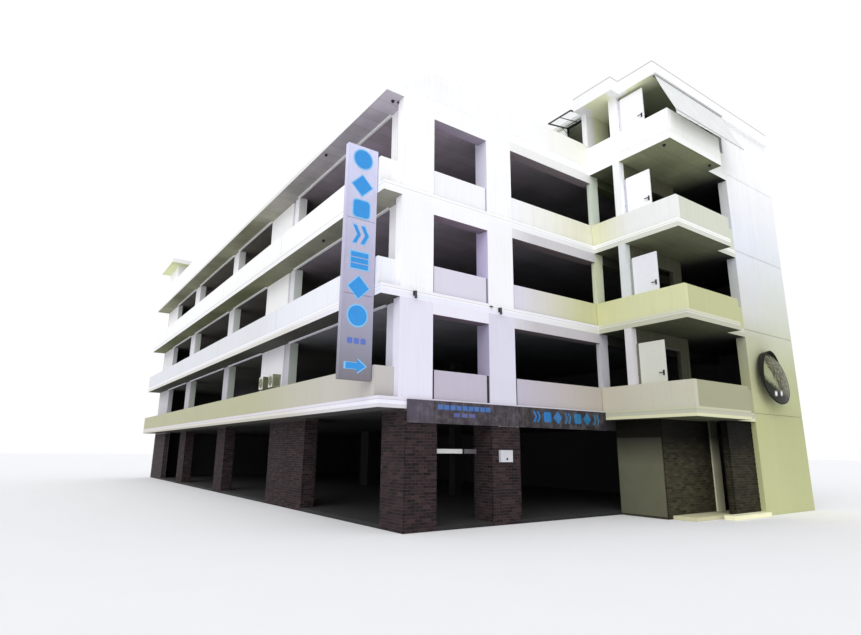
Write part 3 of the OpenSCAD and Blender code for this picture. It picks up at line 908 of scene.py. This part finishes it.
def flatShape(kind, x, z, size, y, thick):
    # a raised shape on a face that looks towards -Y
    low, high, half, wide = y - thick, y + 0.002, size / 2, size * 0.475
    if kind in ("disc", "diamond"):
        radius, sides = (half, 40) if kind == "disc" else (half * 1.12, 4)
        return [addRound(kind, radius, high - low, (x, (low + high) / 2, z), (math.pi / 2, 0, 0), sides)]
    if kind == "square":
        part = addBox(kind, (x - half * 0.9, low, z - half * 0.9), (x + half * 0.9, high, z + half * 0.9))
        shape(part, "EDGE", lambda edge: abs(edge.verts[0].co.y - edge.verts[1].co.y) > thick,
              bpy.ops.mesh.bevel, offset=size * 0.2, segments=5)
        return [part]
    if kind == "bars":
        return [addBox(kind, (x - wide, low, z + foot * size), (x + wide, high, z + (foot + 0.24) * size))
                for foot in (-0.42, -0.12, 0.18)]
    if kind == "chevrons":
        return [chevron(x + shift * size, z, size, low, high) for shift in (-0.42, 0.02)]
    shaft = addBox("shaft", (x - half, low, z - 0.14 * size), (x + 0.08 * size, high, z + 0.14 * size))
    head = addBox("head", (x + 0.08 * size, low, z - 0.3 * size), (x + half, high, z + 0.3 * size))
    for side in (-1, 1):
        cutOff(head, (x + half, 0, z), (0.3, 0, 0.42 * side))
    return [shaft, head]


def makeSign(s):
    (x0, x1), (y0, y1), (z0, z1) = s["x"], s["y"], s["z"]
    body = addBox("sign_body", (x0, y0, z0), (x1, y1, z1))
    for side in (-1, 1):
        inset(body, towards(1, side), s["rim"], -s["sunk"])
    finish(soften(body, 0.004), panelPaint("sign_panel", s["panel"]), "sign_board")
    face, middle = y0 + s["sunk"], (x0 + x1) / 2
    blue, halo, small = [], [], []
    for kind, z, size, haloSize in s["shapes"]:
        blue += flatShape(kind, middle, z, size, face, s["thick"])
        halo += flatShape(kind, middle, z, haloSize, face, s["haloThick"])
    z, size, pitch = s["row"]
    for k in (-1, 0, 1):
        small += flatShape("square", middle + k * pitch, z, size, face, s["thick"])
    bluePaint = metalPaint("sign_blue", s["blue"], 0.35, worn=tone(30, 100, 150))
    finish(join("sign_shapes", blue), bluePaint)
    finish(join("sign_shape_edges", halo), metalPaint("sign_pale_blue", s["halo"], wear=0.1))
    smallPaint = metalPaint("sign_small_blue", s["smallBlue"], wear=0.3)
    finish(join("sign_small_shapes", small), smallPaint)
    a, b, seams = x0 + s["rim"], x1 - s["rim"], []
    for share, lift in s["seams"]:
        z = z0 + (z1 - z0) * share + lift
        seams.append(addBox("seam", (a, face - 0.003, z - 0.004), (b, face + 0.002, z + 0.004)))
    finish(soften(join("sign_seams", seams), 0.001), dark)


makeSign(signBoard)

# Fascia board: three sheets with joints, plain blue blocks, a thin lamp tube under the middle

fasciaBoard = {
    "y": (-0.06, 0.0), "z": (2.51, 3.07), "rim": 0.012, "wideEnd": tone(16, 104, 140),
    "sheets": [((0.05, 0.812), tone(78, 70, 84)), ((0.820, 3.696), tone(56, 48, 58)),
               ((3.704, 7.45), tone(46, 41, 46))],
    "rows": [  # name, first x, last x, low, high, count, colour
        ("upper", 0.92, 2.68, 2.85, 2.99, 9, tone(62, 108, 176)),
        ("lower", 1.41, 2.16, 2.68, 2.80, 3, tone(84, 92, 150)),
        ("wide", 4.18, 7.19, 2.66, 2.985, 7, tone(28, 116, 190))],
    "tube": ((2.99, 3.66), 2.516, 0.010), "tubeTone": tone(226, 228, 226),
}


def makeFascia(s):
    (y0, y1), (z0, z1) = s["y"], s["z"]
    for i, ((x0, x1), colour) in enumerate(s["sheets"], 1):
        sheet = addBox(f"fascia_sheet_{i}", (x0, y0, z0), (x1, y1, z1))
        inset(sheet, towards(1, -1), s["rim"], -0.003)
        stops = [(z0, fade(colour, 0.75)), (z0 + 0.2, colour), (z1, colour)]
        finish(soften(sheet, 0.002), panelPaint(f"fascia_paint_{i}", stops, wear=0.35),
               "fascia_board" if i == 1 else None)
    for name, x0, x1, low, high, count, colour in s["rows"]:
        parts, pitch, last = [], (x1 - x0) / count, s["wideEnd"] if name == "wide" else colour
        size, half = min(pitch, high - low) * 1.02, pitch * 0.4
        for k in range(count):
            x = x0 + (k + 0.5) * pitch
            if name == "wide":
                kind = ("chevrons", "square", "diamond")[k % 3]
                parts += flatShape(kind, x, (low + high) / 2, size, y0 + 0.003, 0.006)
            else:
                parts.append(addBox("block", (x - half, y0 - 0.003, low + 0.01),
                                    (x + half, y0 + 0.004, high - 0.01)))
        paint = panelPaint(f"fascia_blue_{name}", [(x0, colour), (x1, last)], 0, wear=0.3)
        finish(join(f"fascia_blocks_{name}", parts), paint)
    (a, b), z, radius = s["tube"]
    parts = [addTube("lamp_tube", (a, y0 + 0.02, z), (b, y0 + 0.02, z), radius)]
    for x in (a, b):
        parts.append(addBox("cap", (x - 0.012, y0 + 0.006, z - 0.016), (x + 0.012, y0 + 0.034, z + 0.018)))
    paint = metalPaint("tube_white", s["tubeTone"], 0.3, wear=0.05)
    finish(soften(join("lamp_tube", parts), 0.002), paint)


makeFascia(fasciaBoard)
print("boards made")

# Dark strips in the gaps between the front parapets and the piers: painted shade of those gaps, darkest low
# down

parapetGapShades = {
    "ends": [(0.81, 1), (2.71, -1), (3.68, 1)],  # where a parapet ends, and the way it lies
    "widths": (0.07, 0.045, 0.03),  # one for each storey
    "face": 0.04, "proud": 0.006, "height": 0.735,
    "tones": [(3.0, tone(34, 26, 32)), (5.8, tone(112, 104, 112)), (8.5, tone(150, 146, 152)),
              (9.5, tone(150, 146, 152))],
}


def fillGapShades(s):
    strips, y0, y1 = [], s["face"] - s["proud"], s["face"] + 0.004
    for z, wide in zip(levels["tops"], s["widths"]):
        for x, way in s["ends"]:
            a, b = sorted((x, x + way * wide))
            strips.append(addBox("joint", (a, y0, z), (b, y1, z + s["height"])))
    paint = panelPaint("gap_shade_paint", s["tones"], 2, "CONSTANT", 0.8)
    finish(soften(join("parapet_gap_shades", strips), 0.002), paint)


fillGapShades(parapetGapShades)

# Doors: pressed steel leaves with a folded edge and two shallow fields

doorLeaf = {
    "x": (7.635, 7.68), "y": (-2.14, -1.29), "height": 1.99,
    "sills": [3.12, 5.875, 8.63, 11.56],
    "shut": [((11.0, 2.5, 11.49), (11.9, 2.545, 13.48)), ((2.0, 28.35, 11.49), (2.9, 28.395, 13.48))],
    "border": 0.055, "pressed": 0.004, "stripTo": -1.205,
    "lever": (0.08, 1.02),  # in from the free edge, and up from the sill
    "plate": (0.028, 0.08), "spindle": 0.011, "handle": (0.014, 0.13),
    "worn": tone(150, 150, 120),
    "tones": [tone(209, 211, 199), tone(231, 233, 238), tone(255), tone(255)],
    # tones of the strips in the hinge gaps: painted shade, darker low down
    "strips": [tone(104, 102, 90), tone(150, 150, 146), tone(196, 196, 208), tone(222, 220, 232)],
}


def pressLeaf(name, low, high, axis):
    leaf = addBox(name, low, high)
    for way, face in ((-1, low[axis]), (1, high[axis])):
        inset(leaf, towards(axis, way), doorLeaf["border"], 0.0)
        inset(leaf, lambda m, n: n[axis] * way > 0.9 and abs(m[axis] - face) < 1e-4
              and low[2] + 0.3 < m.z < high[2] - 0.3, 0.004, -doorLeaf["pressed"])
    return soften(leaf, 0.003)


def makeDoors(s):
    (x0, x1), (y0, y1), z = s["x"], s["y"], s["sills"][0]
    leaf = pressLeaf("leaf", (x0, y0, z), (x1, y1, z + s["height"]), 0)
    # a strip fills the hinge gap; its colour stands in for the gap's shade
    strip = addBox("strip", (x0 + 0.004, y1, z + 0.02), (x1 - 0.004, s["stripTo"], z + s["height"] - 0.02))
    soften(strip, 0.003)
    y, up = y0 + s["lever"][0], z + s["lever"][1]
    (w, h), (half, length) = s["plate"], s["handle"]
    lever = soften(join("lever", [
        addBox("plate", (x0 - 0.008, y - w, up - h), (x0 + 0.001, y + w, up + h)),
        addTube("spindle", (x0, y, up), (x0 - 0.05, y, up), s["spindle"], 12),
        addBox("handle", (x0 - 0.058, y - half, up - half), (x0 - 0.04, y + length, up + half))]), 0.003)
    levers = []
    for i, sill in enumerate(s["sills"]):
        move, name = (0, 0, sill - z), f"stair_door_{i + 1}"
        paint = metalPaint(name + "_paint", s["tones"][i], 0.45, wear=0.06, worn=s["worn"])
        finish(copyOf(leaf, name, move), paint, None if i else "stair_doors")
        name = f"hinge_strip_{i + 1}"
        paint = metalPaint(name + "_paint", s["strips"][i], 0.5, wear=0.1)
        finish(copyOf(strip, name, move), paint)
        levers.append(copyOf(lever, "lever", move))
    for master in (leaf, strip, lever):
        bpy.data.objects.remove(master)
    finish(join("door_levers", levers), dark)
    for i, (low, high) in enumerate(s["shut"], 1):
        finish(pressLeaf(f"roof_door_{i}", low, high, 1), doorMat)


makeDoors(doorLeaf)

# Steel frames round the doorways of the stair wing, flush with the wall's face

doorFrames = {
    "first": (7.69, 8.54), "second": (9.05, 10.08), "y": (-1.212, -1.14), "reach": 0.028, "bedded": 0.03,
    "heads": [5.16, 7.915, 10.67, 13.60], "tone": tone(74, 74, 62),
}


def makeFrames(s):
    parts = []
    (y0, y1), inside, outside = s["y"], s["reach"], s["bedded"]
    for floorZ, headZ in zip(levels["tops"], s["heads"]):
        for x0, x1 in (s["first"], s["second"]):
            parts.append(addBox("jamb", (x1 - inside, y0, floorZ), (x1 + outside, y1, headZ)))
            if x0 > s["first"][0]:
                parts.append(addBox("jamb", (x0 - outside, y0, floorZ), (x0 + inside, y1, headZ)))
            parts.append(addBox("head", (x0 + 0.002, y0, headZ - inside),
                                (x1 + outside, y1, headZ + outside)))
    paint = metalPaint("frame_paint", s["tone"], 0.5, wear=0.2)
    finish(soften(join("doorway_frames", parts), 0.003), paint)


makeFrames(doorFrames)
print("doors made")

# Window of the stair head: open sash with a clear pane, on two hinges and two stays

sash = {
    "hinge": (8.13, 13.98), "y": (0.34, 1.44), "length": 1.09, "thick": 0.04, "rail": 0.05, "angle": 10.0,
    "pane": (0.016, 0.022), "rebate": 0.008, "bar": 0.014,
    "tabs": (0.11, 0.17), "post": 0.24, "stay": (0.36, 0.012),  # in from the sides; length; reach and radius
}


def makeSash(s):
    (y0, y1), length, thick, rail = s["y"], s["length"], s["thick"], s["rail"]
    leaf = addBox("sash_frame", (-length, y0, 0), (0, y1, thick))
    inset(leaf, lambda m, n: abs(n.z) > 0.9, rail, 0)
    openThrough(leaf, lambda m, n: abs(n.z) > 0.9 and -length + 0.2 < m.x < -0.2
                and y0 + 0.2 < m.y < y1 - 0.2)
    middle, slack = (y0 + y1) / 2, s["rebate"]
    bar = addBox("bar", (-length + rail, middle - s["bar"], slack), (-rail, middle + s["bar"], thick - slack))
    leaf = soften(join("sash_frame", [leaf, bar]), 0.003)
    low, high = s["pane"]
    pane = addBox("sash_pane", (-length + rail - slack, y0 + rail - slack, low),
                  (-rail + slack, y1 - rail + slack, high))
    soften(pane, 0.001)
    x, z = s["hinge"]
    turn = Matrix.Translation((x, 0, z)) @ Matrix.Rotation(-math.radians(s["angle"]), 4, "Y")
    for part in (leaf, pane):
        part.data.transform(turn)
    tabs, posts, stays, (reach, radius) = [], [], [], s["stay"]
    for tabY, y in ((y0 + s["tabs"][0], y0), (y1 - s["tabs"][1], y1 - 0.04)):
        tabs.append(addBox("tab", (x - 0.02, tabY, z + 0.012), (x + 0.02, tabY + 0.06, z + 0.03)))
        posts.append(addBox("post", (x - 0.03, y, z - s["post"]), (x + 0.03, y + 0.03, z + 0.01)))
        a, b = (x - reach, y + 0.015, z - 0.05), (x, y + 0.015, z - s["post"] + 0.02)
        stays.append(addTube("stay", a, b, radius, 10))
    finish(join("sash_frame", [leaf] + tabs + posts + stays), dark, "open_sash")
    finish(pane, clearGlass("sash_glass", (0.9, 0.93, 0.94)))


makeSash(sash)

# Awning: one stretched sheet between its rails, with a slight sag and sewn seams

awningCloth = {
    "x": (7.45, 11.5), "top": (-2.74, 13.59), "low": (-3.34, 12.05), "thick": 0.003,
    "flap": (0.15, 0.05),  # its depth at the side street's end and at the tall wall's
    "sag": 0.035, "wrinkle": 0.004, "ripple": 0.012, "across": 48, "down": 20, "flapRows": 2, "seams": 3,
    "tone": tone(231, 233, 231),
}


def makeAwning(s):
    (x0, x1), (yTop, zTop), (yLow, zLow) = s["x"], s["top"], s["low"]
    slope = math.hypot(yLow - yTop, zLow - zTop)
    bare()
    bpy.ops.mesh.primitive_grid_add(x_subdivisions=s["across"], y_subdivisions=s["down"], size=1)
    cloth = bpy.context.active_object
    cloth.name = "awning_cloth"
    outward = Vector((0, zLow - zTop, -(yLow - yTop))) / slope
    bend = 1 - s["flapRows"] / s["down"]
    for vertex in cloth.data.vertices:
        u, v = vertex.co.x + 0.5, (vertex.co.y + 0.5) / bend
        if v > 1.0001:
            drop = (v - 1) / (1 / bend - 1) * (s["flap"][0] + u * (s["flap"][1] - s["flap"][0]))
            y = yLow - 0.004 - s["ripple"] * abs(math.sin(u * 40))
            vertex.co = Vector((x0 + u * (x1 - x0), y, zLow - drop))
            continue
        dip = 4 * v * (1 - v) * (0.35 + 0.65 * abs(math.sin(u * math.pi * (s["seams"] + 1))))
        wrinkle = s["wrinkle"] * math.sin(u * 61 + v * 5) * v * (1 - v) * 4
        place = Vector((x0 + u * (x1 - x0), yTop + v * (yLow - yTop), zTop + v * (zLow - zTop)))
        vertex.co = place - outward * (s["sag"] * dip + wrinkle)
    modify(cloth, "SOLIDIFY", thickness=s["thick"], offset=0)
    shapeFaces(cloth, everyFace, bpy.ops.mesh.normals_make_consistent, inside=False)
    smooth(cloth)
    finish(cloth, clothWeave("awning_weave", s["tone"]), "awning")
    x1 - x0
    slope + s["flap"][0]


makeAwning(awningCloth)
print("roof pieces made")

# Cooling units: casing with feet, a grille of rings and spokes, the dark fan well and side slots

coolingUnit = {
    "y": (8.37, 9.38), "width": 0.43, "x": (-0.308, -0.004), "z": (4.02, 4.52),
    "fan": 0.17, "rings": 5, "spokes": 8, "wire": 0.003, "outerWire": 0.007, "spoke": 0.0025, "hub": 0.035,
    "slots": 9, "slot": 0.012, "slotPitch": 0.03,
    "casing": tone(214, 214, 204),
    # faces towards the front: painted shade, deeper on the rear unit
    "sides": (tone(140, 144, 112), tone(86, 90, 60)),  # of the front unit and the rear one
    "grille": tone(150, 152, 128), "hollow": tone(112, 114, 92),
}


def modelUnit(s):
    (x0, x1), (z0, z1), wide, fan, rings = s["x"], s["z"], s["width"], s["fan"], s["rings"]
    body = addBox("unit", (x0, 0, z0 + 0.03), (x1, wide, z1))
    inset(body, towards(0, -1), 0.018, -0.006)
    inset(body, towards(1, -1), 0.03, -0.004)
    soften(body, 0.010, 2)
    feet = [addBox("foot", (x0 + 0.038, y, z0), (-0.02, y + 0.03, z0 + 0.034)) for y in (0.05, wide - 0.08)]
    middle = Vector((x0, wide / 2, (z0 + z1) / 2 + 0.015))
    front = middle + Vector((-0.004, 0, 0))
    grille = []
    for k in range(1, rings + 1):
        bare()
        bpy.ops.mesh.primitive_torus_add(
            location=front, rotation=(0, math.pi / 2, 0), major_segments=32, minor_segments=6,
            major_radius=fan * k / rings, minor_radius=s["wire"] if k < rings else s["outerWire"])
        grille.append(added("ring"))
    for k in range(s["spokes"]):
        turn = k * 2 * math.pi / s["spokes"]
        reach = Vector((0, math.cos(turn), math.sin(turn))) * fan
        grille.append(addTube("spoke", front, front + reach, s["spoke"], 6))
    grille.append(addTube("hub", middle + Vector((-0.008, 0, 0)), middle + Vector((0.004, 0, 0)), s["hub"]))
    # the fan well and the slots are dark plates: the fan's own dark colour, and painted shade in the slots
    well = middle + Vector((0.006, 0, 0)), middle + Vector((-0.001, 0, 0))
    hollow = [addTube("well", *well, fan * 0.97, 32)]
    for k in range(s["slots"]):
        z = z0 + 0.12 + k * s["slotPitch"]
        hollow.append(addBox("slot", (x0 + 0.068, -0.001, z), (-0.06, 0.006, z + s["slot"])))
    return join("unit", [body] + feet), join("grille", grille), join("hollow", hollow)


def makeUnits(s):
    masters = modelUnit(s)
    casing = metalPaint("unit_casing", s["casing"], 0.45, wear=0.25, worn=tone(120, 120, 100),
                        side=lambda: blend(band(axisOf(1), 9.0, 9.2), *s["sides"]))
    kinds = (("casing", casing, "unit_casing"),
             ("grille", metalPaint("grille_paint", s["grille"]), "unit_casing"),
             ("dark", metalPaint("fan_dark", s["hollow"], 0.6), "dark_metal"))
    for i, y in enumerate(s["y"], 1):
        for master, (part, paint, slot) in zip(masters, kinds):
            twin = copyOf(master, f"cooling_unit_{i}_{part}", (0, y, 0))
            finish(twin, paint, "cooling_units" if part == "casing" and i == 1 else None)
    for master in masters:
        bpy.data.objects.remove(master)


makeUnits(coolingUnit)

# Traffic mirror: a domed glass in a deep rim, a hood over its upper left, on an arm

mirror = {
    "wall": (12.77, -2.6, 4.31), "arm": 0.18, "radius": 0.895, "deep": 0.06, "rim": 0.03,
    "hood": 0.20, "hoodStart": 0.03, "hoodAt": 122.0,  # its reach, and where, in degrees from the right
    "tilt": 80.0, "bulge": 0.15, "pole": 0.03, "plate": (0.09, 0.12), "rimTone": tone(8, 9, 6),
    # colours of the painted reflection in the glass, and its painted glints
    "pale": tone(160, 166, 128), "mottled": tone(124, 124, 88), "mottledDark": tone(48, 47, 31),
    "dark": tone(9, 11, 7), "glint": (0.85, 0.85, 0.88), "glints": [(-0.39, -0.55), (-0.08, -0.53)],
}


def makeHood(s):
    # a tube on the rim, sawn off at a slant so that only its upper left stays
    low, high = s["hoodStart"], s["deep"] + s["hood"]
    hood = addRound("hood", s["radius"] - 0.002, high - low, (0, 0, (low + high) / 2))
    inset(hood, lambda m, n: abs(n.z) > 0.9, 0.018, 0)
    openThrough(hood, lambda m, n: abs(n.z) > 0.9 and m.xy.length < 0.1)
    slant, away = s["hood"] / s["radius"], math.radians(s["hoodAt"])
    cutOff(hood, (0, 0, s["deep"] - 0.03), (-slant * math.cos(away), -slant * math.sin(away), 1))
    return hood


def makeGlass(s):
    radius = s["radius"] - s["rim"] + 0.004
    ball = (radius ** 2 + s["bulge"] ** 2) / (2 * s["bulge"])
    bare()
    bpy.ops.mesh.primitive_circle_add(
        vertices=72, radius=radius, fill_type="TRIFAN", location=(0, 0, s["deep"] - 0.004))
    glass = added("mirror_glass")
    shapeFaces(glass, everyFace, bpy.ops.mesh.subdivide, number_cuts=5)
    for vertex in glass.data.vertices:
        vertex.co.z += math.sqrt(max(ball ** 2 - vertex.co.xy.length_squared, 0)) - (ball - s["bulge"])
    modify(glass, "SOLIDIFY", thickness=0.004, offset=-1)
    return glass


def makeMirror(s):
    x, y, z = s["wall"]
    centre = Vector((x, y - s["arm"], z))
    place = Matrix.Translation(centre) @ Matrix.Rotation(math.radians(s["tilt"]), 4, "X")
    shell = addRound("shell", s["radius"], s["deep"], (0, 0, s["deep"] / 2))
    inset(shell, towards(2, 1), s["rim"], 0)
    extrude(shell, lambda m, n: n.z > 0.9 and m.xy.length < 0.1, (0, 0, -0.03))
    shell = join("shell", [soften(shell, 0.006), makeHood(s)])
    glass = makeGlass(s)
    for part in (shell, glass):
        smooth(part)
        part.data.transform(place)
    arm = addTube("arm", s["wall"], centre + Vector((0, -0.03, 0)), s["pole"])
    w, h = s["plate"]
    plate = soften(addBox("plate", (x - w, y - 0.012, z - h), (x + w, y, z + h)), 0.004)
    body = join("mirror_body", [shell, arm, plate])
    finish(body, metalPaint("mirror_rim", s["rimTone"], 0.8, wear=0.05), "traffic_mirror")
    finish(glass, paintedReflectionGlass("mirror_glass", s))


makeMirror(mirror)

# Wall lamps on the front piers, each with a back plate, a neck and a hooded head

wallLamps = {
    "x": (0.170, 3.050), "z": 5.571, "size": (0.09, 0.14, 0.23),
    "clip": ((2.75, -0.05, 5.77), (2.83, 0.0, 5.80)),
    "margin": 0.012, "plate": (0.02, 0.45),  # its thickness, and its foot as a share of the height
    "neck": (0.86, 0.80, 0.014), "head": (0.95, 0.12, 0.36),  # shares at both ends, and radius
    "reach": (0.55, 0.62),  # shares of the depth
}


def makeLamps(s):
    (w, d, h), z, x, margin = s["size"], s["z"], s["x"][0], s["margin"]
    middle, (thick, foot), (inner, outer) = x + w / 2, s["plate"], s["reach"]
    back = soften(addBox("back", (x + margin, -thick, z + h * foot), (x + w - margin, 0.0, z + h)), 0.003)
    a, b, radius = s["neck"]
    neck = addTube("neck", (middle, -0.01, z + h * a), (middle, -d * outer, z + h * b), radius, 12)
    a, b, radius = s["head"]
    head = addTube("head", (middle, -d * inner, z + h * a), (middle, -d * outer, z + h * b), w * radius)
    inset(head, towards(2, -1), 0.006, 0)
    extrude(head, lambda m, n: n.z < -0.9 and abs(m.x - middle) < 0.004, (0, 0, 0.02))
    lamp = join("lamp", [back, neck, soften(head, 0.004, 2)])
    second = copyOf(lamp, "lamp", (s["x"][1] - x, 0, 0))
    finish(join("lamps", [lamp, second, addBox("clip", *s["clip"])]), dark, "wall_lamps")


makeLamps(wallLamps)

# Notice box with a round knob, and the height bar in the narrow bay: two sleeves on a steel core

noticeBox = {
    "low": (2.984, -0.09, 1.58), "high": (3.41, 0.0, 1.89), "tone": tone(206, 206, 212),
    "knob": (3.21, 1.66, 0.03),
}
heightBar = {
    "x": ((0.95, 2.26), (2.34, 2.75)), "y": (0.63, 0.69), "z": (1.79, 1.91), "core": 0.022, "end": 0.012,
    "white": tone(238, 238, 236), "grey": tone(118, 112, 118),
}


def makeNotice(s):
    box = addBox("notice_frame", s["low"], s["high"])
    inset(box, towards(1, -1), 0.016, -0.010)
    finish(soften(box, 0.004), metalPaint("notice_paint", s["tone"]), "notice_box")
    (x, z, radius), y = s["knob"], s["low"][1]
    knob = addTube("notice_knob", (x, y + 0.012, z), (x, y + 0.001, z), radius)
    finish(soften(knob, 0.003), dark)


def makeBar(s):
    (y0, y1), (z0, z1), middle = s["y"], s["z"], [sum(s[axis]) / 2 for axis in "yz"]
    paints = (metalPaint("bar_white", s["white"], 0.35, wear=0.1),
              metalPaint("bar_grey", s["grey"], wear=0.4))
    for name, (a, b), paint in zip(("white", "grey"), s["x"], paints):
        sleeve = soften(addBox("height_bar_" + name, (a, y0, z0), (b, y1, z1)), 0.012, 3)
        finish(sleeve, paint, "height_bar" if name == "white" else None)
    first, last = s["x"][0][0], s["x"][1][1]
    core = addTube("core", (first, *middle), (last, *middle), s["core"])
    ends = [addBox("end", (a, y0, z0 - 0.03), (a + s["end"], y1, z1 + 0.03))
            for a in (first, last - s["end"])]
    finish(soften(join("height_bar_core", [core] + ends), 0.002), dark)


makeNotice(noticeBox)
makeBar(heightBar)

# Round fittings under the soffits

soffitFittings = {
    "places": [(-0.36, 0.34, 11.22), (-0.19, 0.30, 11.22), (7.68, -2.71, 11.22), (10.07, -2.85, 11.22),
               (-0.59, 4.10, 11.22), (-0.44, 4.28, 8.35), (4.6, 1.9, 8.35), (6.1, 4.2, 8.35),
               (1.7, 1.6, 11.22)],
    "steps": ((0.002, -0.045, 0.045), (-0.045, -0.07, 0.028)),  # from, to and radius of each step
}


def makeFittings(s):
    parts = [addTube("fitting", (x, y, z + high), (x, y, z + low), radius)
             for x, y, z in s["places"] for high, low, radius in s["steps"]]
    finish(soften(join("soffit_fittings", parts), 0.004), dark)


makeFittings(soffitFittings)

# Clips and sockets on the two downpipes

pipeCollars = {
    "thin": (-0.165, 0.315, 0.032), "thick": (0.1, 8.14, 0.058), "socket": (0.1, 8.14, 0.066),
    "clear": 0.35,  # from a deck or soffit to the nearest clip
}


def addCollar(pipe, low, height):
    x, y, radius = pipe
    return addTube("collar", (x, y, low), (x, y, low + height), radius)


def makeCollars(s):
    collars = []
    for floorZ, ceilingZ in zip(levels["tops"], levels["soffits"][1:]):
        for z in (floorZ + s["clear"], (floorZ + ceilingZ) / 2, ceilingZ - s["clear"]):
            collars += [addCollar(s["thin"], z, 0.03), addCollar(s["thick"], z, 0.04)]
        collars += [addCollar(s["socket"], ceilingZ - 0.12, 0.12), addCollar(s["socket"], floorZ, 0.1)]
    finish(soften(join("pipe_collars", collars), 0.003), pipeMat)


makeCollars(pipeCollars)
print("small parts made")
